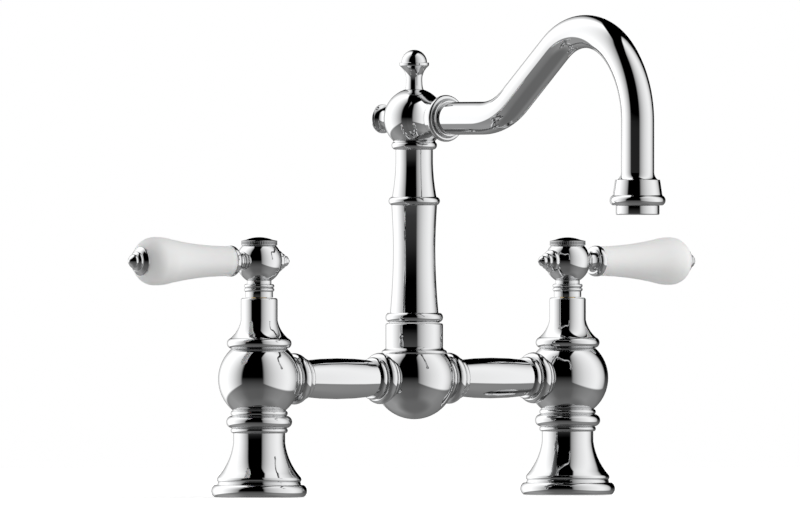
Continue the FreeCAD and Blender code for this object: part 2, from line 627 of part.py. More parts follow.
# ---------------------------------------------------------------- lever
def hub():
    """Ball hub with two ribs below it; the lever screws into one side and a finial into the other."""
    rib = HUB_RIB_RADIUS - HUB_RIB_BULGE
    rib_base = HUB_BASE + HUB_SKIRT_HEIGHT
    ball_foot = (HUB_NECK_RADIUS, HUB_NECK_TOP)
    outside = [
        (HUB_SKIRT_RADIUS, HUB_BASE),
        (HUB_SKIRT_RADIUS, rib_base),
        (rib, rib_base),
        (rib, rib_base + HUB_RIB_HEIGHT, HUB_RIB_BULGE),
        (rib, rib_base + 2 * HUB_RIB_HEIGHT, HUB_RIB_BULGE),
        (HUB_NECK_RADIUS, rib_base + 2 * HUB_RIB_HEIGHT),
        ball_foot,
        on_ball(HUB_BALL_RADIUS, ball_foot, (HUB_TOP_RADIUS, HUB_TOP)),
    ]
    body = turned(outside)
    cutters = [
        prism(DRIVE_SQUARE + 2 * SEAT_FIT, 4, HUB_BASE, SCREW_SEAT - HUB_FLOOR),
        rod(SCREW_RADIUS + TURNING_GAP, HUB_BASE, SCREW_SEAT),
        rod(HUB_COUNTERBORE, SCREW_SEAT, HUB_TOP),
    ]
    axis = Vector(0, 0, HUB_Z)
    screw_hole = rod(ROD_THREAD_RADIUS + SEAT_FIT, ROD_START - TURNING_GAP, HUB_BALL_RADIUS)
    stub_hole = rod(ROD_RADIUS + SEAT_FIT, FINIAL_SEAT - FINIAL_STUB_LENGTH - TURNING_GAP, HUB_BALL_RADIUS)
    cutters.append(placed(screw_hole, axis, OUTWARD))
    cutters.append(placed(rod(HUB_BALL_RADIUS, LEVER_SEAT, 2 * HUB_BALL_RADIUS), axis, OUTWARD))
    cutters.append(placed(stub_hole, axis, INWARD))
    cutters.append(placed(rod(HUB_BALL_RADIUS, FINIAL_SEAT, 2 * HUB_BALL_RADIUS), axis, INWARD))
    for cutter in cutters:
        body = body.cut(cutter)
    return body


def hub_cap():
    """Low domed cap with a straight rim, screwed into the hub over the handle screw."""
    plug = HUB_COUNTERBORE - SEAT_FIT
    rim_top = HUB_TOP + CAP_RIM_HEIGHT
    dome_edge = (CAP_DOME_RADIUS, rim_top + CAP_SLOPE_RISE)
    outside = [
        (plug, HUB_TOP - CAP_PLUG_LENGTH),
        (plug, HUB_TOP),
        (CAP_RADIUS - CAP_EDGE, HUB_TOP),
        (CAP_RADIUS, HUB_TOP + CAP_EDGE),
        (CAP_RADIUS, rim_top),
        dome_edge,
        dome(dome_edge, CAP_DOME_RISE),
    ]
    return turned(outside)


def ferrule():
    """Metal cup between hub and grip: a collar, a beaded neck, a flare and a rounded rim."""
    outside = [
        (FERRULE_COLLAR_RADIUS, 0.0),
        (FERRULE_COLLAR_RADIUS, FERRULE_COLLAR_LENGTH, FERRULE_COLLAR_BULGE),
        (FERRULE_NECK_RADIUS, FERRULE_COLLAR_LENGTH),
        (FERRULE_NECK_RADIUS, FERRULE_BEAD_START),
        (FERRULE_NECK_RADIUS, FERRULE_BEAD_START + FERRULE_BEAD_LENGTH, FERRULE_BEAD_BULGE),
        (FERRULE_NECK_RADIUS, FERRULE_FLARE_START),
        (FERRULE_FLARE_RADIUS, FERRULE_RIM_START, -FERRULE_FLARE_HOLLOW),
        (FERRULE_RIM_FOOT, FERRULE_RIM_START),
        (FERRULE_LIP_RADIUS, FERRULE_RIM_START + FERRULE_RIM_LENGTH, FERRULE_RIM_BULGE),
        (FERRULE_LIP_RADIUS, FERRULE_LENGTH),
    ]
    bore = ROD_RADIUS + SEAT_FIT
    recess = GRIP_SPIGOT_RADIUS + SEAT_FIT
    inside = [
        (bore, 0.0),
        (bore, FERRULE_LENGTH - FERRULE_RECESS),
        (recess, FERRULE_LENGTH - FERRULE_RECESS),
        (recess, FERRULE_LENGTH),
    ]
    return turned(outside, inside)


def grip():
    """Porcelain grip: a slow swelling to its thickest, then a rounded shoulder at the end."""
    spigot = FERRULE_RECESS - SEAT_FIT
    outside = [
        (GRIP_SPIGOT_RADIUS, -spigot),
        (GRIP_SPIGOT_RADIUS, 0.0),
        (GRIP_THIN_RADIUS, 0.0),
        (GRIP_THIN_RADIUS, GRIP_COLLAR_LENGTH),
        (GRIP_SHOULDER_RADIUS, GRIP_SHOULDER_AT, -GRIP_HOLLOW),
        (GRIP_FAT_RADIUS, GRIP_FAT_AT, GRIP_FAT_BULGE),
        (END_FINIAL_RADIUS, GRIP_LENGTH, GRIP_END_BULGE),
    ]
    return turned(outside, [(GRIP_BORE, -spigot), (GRIP_BORE, GRIP_LENGTH)])


def lever_rod():
    """Rod that screws into the hub and draws grip and ferrule together from the end finial."""
    end = GRIP_END + FINIAL_STUB_LENGTH
    outside = [
        (ROD_THREAD_RADIUS, ROD_START),
        (ROD_THREAD_RADIUS, LEVER_SEAT),
        (ROD_RADIUS, LEVER_SEAT),
        (ROD_RADIUS, end),
    ]
    return turned(outside)


def finial(base_radius, base_length, stub_length, hole_length):
    """Finial of two rounded ledges and a nose, on a plain base where it has one."""
    ledge_top = base_length + FINIAL_LEDGE_RISE
    step_start = ledge_top + FINIAL_STEP_FOOT
    step_top = step_start + FINIAL_STEP_RISE
    nose_start = step_top + FINIAL_NOSE_FOOT
    tip_edge = (FINIAL_TIP_RADIUS, nose_start + FINIAL_NOSE_RISE)
    outside = [
        (base_radius, base_length),
        (FINIAL_LEDGE_RADIUS, ledge_top, FINIAL_LEDGE_BULGE),
        (FINIAL_STEP_RADIUS, ledge_top),
        (FINIAL_STEP_RADIUS, step_start),
        (FINIAL_STEP_EDGE_RADIUS, step_top, FINIAL_STEP_BULGE),
        (FINIAL_NOSE_RADIUS, step_top),
        (FINIAL_NOSE_RADIUS, nose_start),
        (*tip_edge, FINIAL_NOSE_BULGE),
        dome(tip_edge, FINIAL_TIP_RISE),
    ]
    if base_length:
        outside.insert(0, (base_radius, 0.0))
    body = turned(outside)
    if stub_length:
        body = body.fuse(rod(ROD_RADIUS, -stub_length, 0.0))
    if hole_length:
        body = body.cut(rod(ROD_RADIUS + SEAT_FIT, 0.0, hole_length))
    return body


# ---------------------------------------------------------------- bridge
def bridge_collar():
    """Beaded collar that screws into a ball and takes the end of a bridge tube."""
    bead_start = COLLAR_NECK_LENGTH
    ring_start = bead_start + COLLAR_BEAD_LENGTH
    outside = [
        (COLLAR_SPIGOT_RADIUS, -COLLAR_SPIGOT_LENGTH),
        (COLLAR_SPIGOT_RADIUS, 0.0),
        (COLLAR_SEAT_RADIUS, 0.0),
        (COLLAR_SEAT_RADIUS, bead_start, COLLAR_NECK_BULGE),
        (COLLAR_BEAD_ROOT, bead_start),
        (COLLAR_BEAD_ROOT, ring_start, COLLAR_BEAD_BULGE),
        (COLLAR_RING_RADIUS, ring_start),
        (COLLAR_RING_RADIUS, COLLAR_LENGTH, COLLAR_RING_BULGE),
    ]
    socket = TUBE_SPIGOT_RADIUS + SEAT_FIT
    socket_floor = COLLAR_LENGTH - TUBE_SPIGOT_LENGTH - SEAT_FIT
    inside = [
        (WATERWAY, -COLLAR_SPIGOT_LENGTH),
        (WATERWAY, socket_floor),
        (socket, socket_floor),
        (socket, COLLAR_LENGTH),
    ]
    return turned(outside, inside)


def bridge_tube():
    """Barrel-shaped tube with a plain spigot and a ring groove at each end."""
    outside = [
        (TUBE_SPIGOT_RADIUS, -TUBE_SPIGOT_LENGTH),
        (TUBE_SPIGOT_RADIUS, 0.0),
        (TUBE_END_RADIUS, 0.0),
        (TUBE_END_RADIUS, TUBE_LENGTH, TUBE_SWELL),
        (TUBE_SPIGOT_RADIUS, TUBE_LENGTH),
        (TUBE_SPIGOT_RADIUS, TUBE_LENGTH + TUBE_SPIGOT_LENGTH),
    ]
    ends = (-TUBE_SPIGOT_LENGTH, TUBE_LENGTH + TUBE_SPIGOT_LENGTH)
    body = turned(outside, [(WATERWAY, ends[0]), (WATERWAY, ends[1])])
    for height in (-TUBE_SPIGOT_LENGTH / 2, TUBE_LENGTH + TUBE_SPIGOT_LENGTH / 2):
        body = body.cut(ring_groove(TUBE_SPIGOT_RADIUS, BRIDGE_RING_WIRE, height))
    return body


def ring_groove(shaft_radius, wire_radius, height):
    """Square groove for a rubber ring in a shaft."""
    half = wire_radius + SEAT_FIT
    floor = shaft_radius - 2 * wire_radius
    outer = rod(shaft_radius + 2 * wire_radius, height - half, height + half)
    return outer.cut(rod(floor, height - half, height + half))


def bridge_rings():
    """The four rubber rings that seal the bridge tubes in their collars."""
    rings = []
    wire_centre = TUBE_SPIGOT_RADIUS - BRIDGE_RING_WIRE
    tube_start = COLLAR_SEAT + COLLAR_LENGTH
    for distance in (tube_start - TUBE_SPIGOT_LENGTH / 2,
                     tube_start + TUBE_LENGTH + TUBE_SPIGOT_LENGTH / 2):
        for direction in (OUTWARD, INWARD):
            ring = rubber_ring(wire_centre, BRIDGE_RING_WIRE, distance)
            rings.append(placed(ring, BRIDGE_PORT, direction))
    return Part.makeCompound(rings)


# ---------------------------------------------------------------- centre body and column
def centre_body():
    """Centre ball of the bridge, with the socket in which the column turns."""
    shoulder = BALL_Z + ball_height(BALL_RADIUS, CENTRE_SHOULDER_RADIUS)
    bottom = (0.0, BALL_Z - BALL_RADIUS)
    outside = [
        bottom,
        on_ball(BALL_RADIUS, bottom, (CENTRE_SHOULDER_RADIUS, shoulder)),
        (CENTRE_NECK_RADIUS, shoulder + CENTRE_SHOULDER_HEIGHT, CENTRE_SHOULDER_BULGE),
        (CENTRE_NECK_RADIUS, CENTRE_TOP - CENTRE_EDGE),
        (CENTRE_NECK_RADIUS - CENTRE_EDGE, CENTRE_TOP, CENTRE_EDGE / 4),
    ]
    body = turned(outside)
    clip_half = CLIP_THICKNESS / 2 + TURNING_GAP
    clip_z = COLUMN_BASE - SWIVEL_LENGTH + CLIP_RISE
    cutters = [
        rod(SOCKET_RADIUS, SOCKET_FLOOR, CENTRE_TOP),
        rod(WATERWAY, BALL_Z, SOCKET_FLOOR),
        rod(SWIVEL_RADIUS + CLIP_REACH + TURNING_GAP, clip_z - clip_half, clip_z + clip_half),
    ]
    for cutter in cutters:
        body = body.cut(cutter)
    return side_port(side_port(body, OUTWARD), INWARD)


def column():
    """Turned column with three beads; its shank swivels in the centre body."""
    bead_base = COLUMN_BASE + COLUMN_GROOVE_HEIGHT
    counterbore = NIPPLE_RADIUS + SEAT_FIT
    outside = [
        (SWIVEL_RADIUS, COLUMN_BASE - SWIVEL_LENGTH),
        (SWIVEL_RADIUS, COLUMN_BASE),
        (COLUMN_GROOVE_RADIUS, COLUMN_BASE),
        (COLUMN_GROOVE_RADIUS, bead_base),
        (COLUMN_BASE_BEAD_ROOT, bead_base),
        (COLUMN_BASE_BEAD_ROOT, COLUMN_BODY, COLUMN_BASE_BEAD_BULGE),
        (COLUMN_LOWER_RADIUS, COLUMN_BODY),
        (COLUMN_WAIST_RADIUS, COLUMN_WAIST, -COLUMN_HOLLOW),
        (COLUMN_UPPER_RADIUS, COLUMN_MIDDLE, -COLUMN_UPPER_HOLLOW),
        (COLUMN_UPPER_RADIUS, COLUMN_SHOULDER, COLUMN_MIDDLE_BEAD_BULGE),
        (COLUMN_SHOULDER_RADIUS, COLUMN_SHOULDER),
        (COLUMN_TOP_RADIUS, COLUMN_NECK, -COLUMN_TAPER_HOLLOW),
        (COLUMN_TOP_RADIUS, COLUMN_TOP_BEAD),
        (COLUMN_TOP_BEAD_ROOT, COLUMN_TOP_BEAD),
        (COLUMN_COLLAR_RADIUS, COLUMN_TOP - COLUMN_COLLAR_HEIGHT, COLUMN_TOP_BEAD_BULGE),
        (COLUMN_COLLAR_RADIUS, COLUMN_TOP),
    ]
    inside = [
        (COLUMN_BORE, COLUMN_BASE - SWIVEL_LENGTH),
        (COLUMN_BORE, COLUMN_TOP - NIPPLE_LENGTH - SEAT_FIT),
        (counterbore, COLUMN_TOP - NIPPLE_LENGTH - SEAT_FIT),
        (counterbore, COLUMN_TOP),
    ]
    body = turned(outside, inside)
    for depth in SWIVEL_RING_DEPTHS:
        body = body.cut(ring_groove(SWIVEL_RADIUS, SWIVEL_RING_WIRE, COLUMN_BASE - depth))
    return body.cut(clip_ring(SEAT_FIT, 0.0))


def clip_ring(extra, opening):
    """Flat ring round the swivel shank, half in its groove, with an opening in degrees at the back."""
    half = CLIP_THICKNESS / 2 + extra
    height = COLUMN_BASE - SWIVEL_LENGTH + CLIP_RISE
    inner = SWIVEL_RADIUS - CLIP_REACH - extra
    outer = SWIVEL_RADIUS + CLIP_REACH
    edge = [(outer, height - half), (outer, height + half)]
    ring = turned(edge, [(inner, height - half), (inner, height + half)])
    if opening:
        gap = Part.makeCylinder(2 * outer, 4 * half, Vector(0, 0, height - 2 * half), UP, opening)
        gap.rotate(DECK, UP, 90.0 - opening / 2)
        ring = ring.cut(gap)
    return ring


def swivel_rings():
    """The two rubber rings on the swivel shank."""
    centre = SWIVEL_RADIUS - SWIVEL_RING_WIRE
    rings = [rubber_ring(centre, SWIVEL_RING_WIRE, COLUMN_BASE - depth) for depth in SWIVEL_RING_DEPTHS]
    return Part.makeCompound(rings)


# ---------------------------------------------------------------- top ball with its fittings
def top_ball():
    """Ball on the column that turns the water forwards into the spout."""
    foot_point = (COLUMN_COLLAR_RADIUS, COLUMN_TOP)
    top_seat = ball_height(TOP_BALL_RADIUS, STEM_FOOT_RADIUS)
    plug_seat = ball_height(TOP_BALL_RADIUS, PLUG_FOOT_RADIUS)
    outside = [
        (NIPPLE_RADIUS, COLUMN_TOP - NIPPLE_LENGTH),
        (NIPPLE_RADIUS, COLUMN_TOP),
        foot_point,
        on_ball(TOP_BALL_RADIUS, foot_point, (STEM_FOOT_RADIUS, TOP_BALL_Z + top_seat)),
    ]
    boss_start = ball_height(TOP_BALL_RADIUS, SPOUT_BOSS_RADIUS) + SEAT_FIT
    boss = turned([
        (SPOUT_BOSS_RADIUS, boss_start - SPOUT_BOSS_ROOT),
        (SPOUT_BOSS_RADIUS, boss_start),
        (SPOUT_SEAT_RADIUS, SPOUT_SEAT, -SPOUT_BOSS_HOLLOW),
    ])
    centre = Vector(0, 0, TOP_BALL_Z)
    body = turned(outside).fuse(placed(boss, centre, FORWARD))
    cutters = [
        rod(WATERWAY, COLUMN_TOP - NIPPLE_LENGTH, TOP_BALL_Z),
        placed(rod(STEM_STUB_RADIUS + SEAT_FIT, top_seat - STEM_STUB_LENGTH, TOP_BALL_RADIUS), centre),
        placed(rod(WATERWAY, 0.0, SPOUT_SEAT), centre, FORWARD),
        placed(rod(SPOUT_SPIGOT_RADIUS + SEAT_FIT, SPOUT_SEAT - SPOUT_SPIGOT_LENGTH, SPOUT_SEAT),
               centre, FORWARD),
        placed(rod(PLUG_STUB_RADIUS + SEAT_FIT, plug_seat - PLUG_STUB_LENGTH, TOP_BALL_RADIUS),
               centre, BACKWARD),
        placed(rod(PLUG_RIM_RADIUS, plug_seat, 2 * TOP_BALL_RADIUS), centre, BACKWARD),
    ]
    for cutter in cutters:
        body = body.cut(cutter)
    return body


def top_finial():
    """Waisted stem that opens into a lipped cup with a half ball on it."""
    foot_z = TOP_BALL_Z + ball_height(TOP_BALL_RADIUS, STEM_FOOT_RADIUS)
    waist_z = foot_z + STEM_FOOT_HEIGHT + STEM_WAIST_HEIGHT
    rim_z = waist_z + STEM_CUP_HEIGHT
    ball_edge = (STEM_BALL_RADIUS, rim_z + STEM_LIP)
    outside = [
        (STEM_STUB_RADIUS, foot_z - STEM_STUB_LENGTH + SEAT_FIT),
        (STEM_STUB_RADIUS, foot_z),
        (STEM_FOOT_RADIUS, foot_z),
        (STEM_LOW_RADIUS, foot_z + STEM_FOOT_HEIGHT, -STEM_FOOT_HOLLOW),
        (STEM_WAIST_RADIUS, waist_z),
        (STEM_CUP_RADIUS, rim_z, -STEM_CUP_HOLLOW),
        (STEM_CUP_RADIUS, rim_z + STEM_LIP),
        ball_edge,
        dome(ball_edge, STEM_BALL_RADIUS),
    ]
    return turned(outside)


def rear_plug():
    """Plug in the back of the top ball: a waisted knob that flares to a domed end."""
    seat = ball_height(TOP_BALL_RADIUS, PLUG_FOOT_RADIUS)
    waist_start = seat + PLUG_FOOT_LENGTH
    flare_start = waist_start + PLUG_WAIST_LENGTH
    rim_start = flare_start + PLUG_FLARE_LENGTH
    rim_edge = (PLUG_RIM_RADIUS, rim_start + PLUG_RIM_LENGTH)
    outside = [
        (PLUG_STUB_RADIUS, seat - PLUG_STUB_LENGTH + SEAT_FIT),
        (PLUG_STUB_RADIUS, seat),
        (PLUG_FOOT_RADIUS, seat),
        (PLUG_WAIST_RADIUS, waist_start, -PLUG_FOOT_HOLLOW),
        (PLUG_WAIST_RADIUS, flare_start),
        (PLUG_RIM_RADIUS, rim_start, -PLUG_FLARE_HOLLOW),
        rim_edge,
        dome(rim_edge, PLUG_DOME_RISE),
    ]
    return turned(outside)


# ---------------------------------------------------------------- spout
def spout_collar():
    """Collar between top ball and spout: a neck, a large bead with a dished face, a small ring."""
    flare_start = SPOUT_NECK_LENGTH
    bead_start = flare_start + SPOUT_FLARE_LENGTH
    bead_end = bead_start + SPOUT_BEAD_LENGTH
    ring_start = bead_end - SPOUT_DISH_DEPTH
    socket_floor = SPOUT_COLLAR_LENGTH - SPOUT_SOCKET_LENGTH
    socket = SPOUT_RADIUS + SEAT_FIT
    outside = [
        (SPOUT_SPIGOT_RADIUS, -SPOUT_SPIGOT_LENGTH + SEAT_FIT),
        (SPOUT_SPIGOT_RADIUS, 0.0),
        (SPOUT_SEAT_RADIUS, 0.0),
        (SPOUT_SEAT_RADIUS, flare_start),
        (SPOUT_BEAD_ROOT, bead_start),
        (SPOUT_BEAD_ROOT, bead_end, SPOUT_BEAD_BULGE),
        (SPOUT_DISH_RADIUS, bead_end),
        (SPOUT_RING_RADIUS, ring_start),
        (SPOUT_RING_RADIUS, SPOUT_COLLAR_LENGTH, SPOUT_RING_BULGE),
    ]
    inside = [
        (WATERWAY, -SPOUT_SPIGOT_LENGTH + SEAT_FIT),
        (WATERWAY, socket_floor),
        (socket, socket_floor),
        (socket, SPOUT_COLLAR_LENGTH),
    ]
    return turned(outside, inside)


def spout_route():
    """The spout's centreline as runs and bends: ("run", length) or ("bend", radius, degrees)."""
    return [
        ("run", SPOUT_SOCKET_LENGTH - SEAT_FIT + SPOUT_STRAIGHT),
        ("bend", SPOUT_LOWER_BEND, SPOUT_CLIMB),
        ("run", SPOUT_INCLINE),
        ("bend", SPOUT_TOP_BEND, -SPOUT_TOP_SWEEP),
        ("bend", SPOUT_DROP_BEND, SPOUT_TOP_SWEEP - SPOUT_CLIMB - 90.0),
        ("run", SPOUT_DROP),
    ]


def spout_start():
    """Where the tube's centreline starts, inside the collar's socket."""
    reach = SPOUT_SEAT + SPOUT_COLLAR_LENGTH - SPOUT_SOCKET_LENGTH + SEAT_FIT
    return Vector(0, -reach, TOP_BALL_Z)


def spout_path():
    """Each stretch of the centreline as (kind, start, direction, bend centre, size), and its end."""
    sideways = Vector(-1, 0, 0)
    place = spout_start()
    direction = Vector(FORWARD)
    stretches = []
    for step in spout_route():
        if step[0] == "run":
            stretches.append(("run", place, direction, None, step[1]))
            place = place + direction * step[1]
        else:
            radius, degrees = step[1], step[2]
            side = math.copysign(1.0, degrees)
            centre = place + sideways.cross(direction) * (side * radius)
            turn = Rotation(sideways, degrees)
            stretches.append(("bend", place, direction, centre, degrees))
            place = centre + turn.multVec(place - centre)
            direction = turn.multVec(direction)
    return stretches, place


def disc(radius, centre, direction):
    return Part.Face(Part.Wire(Part.makeCircle(radius, centre, direction)))


def spout_tube():
    """Swan-neck tube: a straight, a gentle climb and a round top that drops to the nozzle."""
    sideways = Vector(-1, 0, 0)
    stretches, _ = spout_path()
    pieces = []
    for kind, start, direction, centre, size in stretches:
        ring = disc(SPOUT_RADIUS, start, direction).cut(disc(SPOUT_BORE, start, direction))
        if kind == "run":
            pieces.append(ring.extrude(direction * size))
        else:
            pieces.append(ring.revolve(centre, sideways, size))
    return pieces[0].multiFuse(pieces[1:]).removeSplitter()


def nozzle():
    """Bell-shaped outlet with a heavy bead round its mouth; heights count down from the tube's end."""
    bead_top = -NOZZLE_CONE_HEIGHT - NOZZLE_BELL_HEIGHT
    mouth = -NOZZLE_HEIGHT
    spigot = SPOUT_BORE - SEAT_FIT
    outside = [
        (NOZZLE_BELL_BOTTOM, mouth),
        (NOZZLE_BELL_BOTTOM, bead_top, NOZZLE_BEAD_BULGE),
        (NOZZLE_BELL_TOP, -NOZZLE_CONE_HEIGHT),
        (NOZZLE_CONE_RADIUS, -NOZZLE_CONE_HEIGHT),
        (SPOUT_RADIUS, 0.0, -NOZZLE_CONE_HOLLOW),
        (spigot, 0.0),
        (spigot, NOZZLE_SPIGOT_LENGTH),
    ]
    thread = AERATOR_THREAD_RADIUS + SEAT_FIT
    inside = [
        (thread, mouth),
        (thread, mouth + NOZZLE_MOUTH_HEIGHT),
        (WATERWAY, mouth + NOZZLE_MOUTH_HEIGHT),
        (WATERWAY, NOZZLE_SPIGOT_LENGTH),
    ]
    return turned(outside, inside)


# The aerator's pieces are drawn from the nozzle's mouth, which is height 0, upwards.
def aerator_shell():
    """Threaded ring that holds the aerator in the nozzle's mouth."""
    outside = [
        (AERATOR_RADIUS - AERATOR_EDGE, -AERATOR_DROP),
        (AERATOR_RADIUS, -AERATOR_DROP + AERATOR_EDGE),
        (AERATOR_RADIUS, 0.0),
        (AERATOR_THREAD_RADIUS, 0.0),
        (AERATOR_THREAD_RADIUS, SHELL_TOP),
    ]
    inside = [
        (AERATOR_BORE - AERATOR_LIP, -AERATOR_DROP),
        (AERATOR_BORE - AERATOR_LIP, -AERATOR_DROP + AERATOR_LIP),
        (AERATOR_BORE, -AERATOR_DROP + AERATOR_LIP),
        (AERATOR_BORE, SHELL_TOP),
    ]
    return turned(outside, inside)


def aerator_insert():
    """Plastic flow straightener with a pattern of round holes."""
    bottom = -AERATOR_DROP + AERATOR_LIP
    body = rod(AERATOR_BORE - SEAT_FIT, bottom, SHELL_TOP)
    holes = [rod(SCREEN_HOLE_RADIUS, bottom, SHELL_TOP)]
    for count, ring_radius in ((6, SCREEN_RING_RADIUS), (12, 2 * SCREEN_RING_RADIUS)):
        for step in range(count):
            turn = 2 * math.pi * step / count
            hole = rod(SCREEN_HOLE_RADIUS, bottom, SHELL_TOP)
            hole.translate(Vector(ring_radius * math.cos(turn), ring_radius * math.sin(turn), 0))
            holes.append(hole)
    return body.cut(Part.makeCompound(holes))


def aerator_washer():
    """Rubber washer between the aerator and the nozzle's shoulder."""
    outside = [(AERATOR_THREAD_RADIUS, SHELL_TOP), (AERATOR_THREAD_RADIUS, NOZZLE_MOUTH_HEIGHT)]
    return turned(outside, [(WASHER_BORE, SHELL_TOP), (WASHER_BORE, NOZZLE_MOUTH_HEIGHT)])


# ---------------------------------------------------------------- the whole faucet
def valve_pieces():
    """One valve column with its lever, drawn about its own axis, with the lever towards +X."""
    lever = Vector(0, 0, HUB_Z)
    fixed = {
        "foot": foot(),
        "foot_gasket": foot_gasket(),
        "neck_ring": neck_ring(),
        "valve_body": valve_body(),
        "bonnet": bonnet(),
        "cartridge": cartridge(),
        "fixed_disc": ceramic_disc(FIXED_DISC_Z, OUTWARD),
        "cartridge_seal": cartridge_seal(),
    }
    moving = {
        "turning_disc": ceramic_disc(TURNING_DISC_Z, FORWARD),
        "spindle": spindle(),
        "handle_screw": handle_screw(),
        "hub": hub(),
        "hub_cap": hub_cap(),
        "ferrule": placed(ferrule(), lever + OUTWARD * LEVER_SEAT, OUTWARD),
        "lever_rod": placed(lever_rod(), lever, OUTWARD),
        "grip": placed(grip(), lever + OUTWARD * GRIP_START, OUTWARD),
        "end_finial": placed(finial(END_FINIAL_RADIUS, 0.0, 0.0, FINIAL_STUB_LENGTH + TURNING_GAP),
                             lever + OUTWARD * GRIP_END, OUTWARD),
        "rear_finial": placed(finial(REAR_FINIAL_RADIUS, REAR_FINIAL_BASE, FINIAL_STUB_LENGTH, 0.0),
                              lever + INWARD * FINIAL_SEAT, INWARD),
    }
    return {**fixed, **moving}


def bridge_side_pieces():
    """The bridge pieces between the centre ball and the right-hand valve."""
    tube_start = COLLAR_SEAT + COLLAR_LENGTH
    valve_port = BRIDGE_PORT + OUTWARD * (VALVE_SPACING / 2)
    return {
        "centre_collar": placed(bridge_collar(), BRIDGE_PORT + OUTWARD * COLLAR_SEAT, OUTWARD),
        "bridge_tube": placed(bridge_tube(), BRIDGE_PORT + OUTWARD * tube_start, OUTWARD),
        "valve_collar": placed(bridge_collar(), valve_port + INWARD * COLLAR_SEAT, INWARD),
    }


def spout_pieces():
    """Everything that swivels with the spout."""
    centre = Vector(0, 0, TOP_BALL_Z)
    _, tube_end = spout_path()
    mouth = tube_end - UP * NOZZLE_HEIGHT
    return {
        "column": column(),
        "swivel_rings": swivel_rings(),
        "retaining_clip": clip_ring(0.0, CLIP_OPENING),
        "top_ball": top_ball(),
        "top_finial": top_finial(),
        "rear_plug": placed(rear_plug(), centre, BACKWARD),
        "spout_collar": placed(spout_collar(), centre + FORWARD * SPOUT_SEAT, FORWARD),
        "spout_tube": spout_tube(),
        "nozzle": placed(nozzle(), tube_end),
        "aerator_shell": placed(aerator_shell(), mouth),
        "aerator_insert": placed(aerator_insert(), mouth),
        "aerator_washer": placed(aerator_washer(), mouth),
    }


def all_pieces():
    """Every node of the faucet by name; the left side mirrors the right."""
    pieces = {"centre_body": centre_body(), "bridge_rings": bridge_rings()}
    right = bridge_side_pieces()
    for name, shape in valve_pieces().items():
        shape.translate(OUTWARD * (VALVE_SPACING / 2))
        right[name] = shape
    for name, shape in right.items():
        pieces["right_" + name] = shape
        pieces["left_" + name] = shape.mirror(DECK, OUTWARD)
    pieces.update(spout_pieces())
    return pieces


def save_all():
    os.makedirs("parts", exist_ok=True)
    for name, shape in all_pieces().items():
        shape.exportStep("parts/" + name + ".step")


save_all()
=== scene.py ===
import json
import math

import bpy
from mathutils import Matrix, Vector


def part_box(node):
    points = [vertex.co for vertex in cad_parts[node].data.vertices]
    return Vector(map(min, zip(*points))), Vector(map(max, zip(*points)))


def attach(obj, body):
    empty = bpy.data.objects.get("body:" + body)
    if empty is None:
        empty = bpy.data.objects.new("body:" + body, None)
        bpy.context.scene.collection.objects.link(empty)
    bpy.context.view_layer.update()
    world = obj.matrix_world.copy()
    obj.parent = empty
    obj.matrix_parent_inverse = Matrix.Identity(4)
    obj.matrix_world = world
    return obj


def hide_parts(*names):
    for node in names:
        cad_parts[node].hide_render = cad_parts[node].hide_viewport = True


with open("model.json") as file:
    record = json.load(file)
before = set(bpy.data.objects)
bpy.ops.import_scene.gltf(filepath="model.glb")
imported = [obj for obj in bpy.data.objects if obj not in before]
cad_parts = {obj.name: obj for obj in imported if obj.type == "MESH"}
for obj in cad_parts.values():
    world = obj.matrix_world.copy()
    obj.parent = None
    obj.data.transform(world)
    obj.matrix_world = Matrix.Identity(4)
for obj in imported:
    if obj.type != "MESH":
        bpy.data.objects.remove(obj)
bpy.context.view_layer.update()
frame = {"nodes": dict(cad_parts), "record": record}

# ---------------------------------------------------------------- camera
# The photograph looks along the deck from the left of the spout, from far away.
CAMERA_AZIMUTH = math.radians(-40.0)
CAMERA_DISTANCE = 12.15
PHOTO_WIDTH = 0.4036            # metres across the picture at the faucet
CAMERA_SIDE = -0.0072           # picture centre, sideways from the column's axis
CAMERA_HEIGHT = 0.12092
SENSOR_WIDTH = 36.0             # millimetres

to_camera = Vector((math.sin(CAMERA_AZIMUTH), -math.cos(CAMERA_AZIMUTH), 0.0))
camera_right = Vector((math.cos(CAMERA_AZIMUTH), math.sin(CAMERA_AZIMUTH), 0.0))


def make_camera():
    data = bpy.data.cameras.new("camera")
    data.sensor_width = SENSOR_WIDTH
    data.lens = SENSOR_WIDTH * CAMERA_DISTANCE / PHOTO_WIDTH
    data.clip_start = 0.5
    data.clip_end = 60.0
    camera = bpy.data.objects.new("camera", data)
    bpy.context.scene.collection.objects.link(camera)
    target = camera_right * CAMERA_SIDE + Vector((0.0, 0.0, CAMERA_HEIGHT))
    camera.location = target + to_camera * CAMERA_DISTANCE
    camera.rotation_mode = "QUATERNION"
    camera.rotation_quaternion = (-to_camera).to_track_quat("-Z", "Y")
    bpy.context.scene.camera = camera


# ---------------------------------------------------------------- materials
def new_material(name):
    material = bpy.data.materials.new(name)
    material.use_nodes = True
    tree = material.node_tree
    tree.nodes.clear()
    shader = tree.nodes.new("ShaderNodeBsdfPrincipled")
    output = tree.nodes.new("ShaderNodeOutputMaterial")
    tree.links.new(shader.outputs["BSDF"], output.inputs["Surface"])
    return material, tree, shader


def noise(tree, scale, detail, roughness=0.5):
    """Noise over the object's own coordinates, in metres."""
    place = tree.nodes.new("ShaderNodeTexCoord")
    texture = tree.nodes.new("ShaderNodeTexNoise")
    texture.inputs["Scale"].default_value = scale
    texture.inputs["Detail"].default_value = detail
    texture.inputs["Roughness"].default_value = roughness
    tree.links.new(place.outputs["Object"], texture.inputs["Vector"])
    return texture.outputs["Fac"]


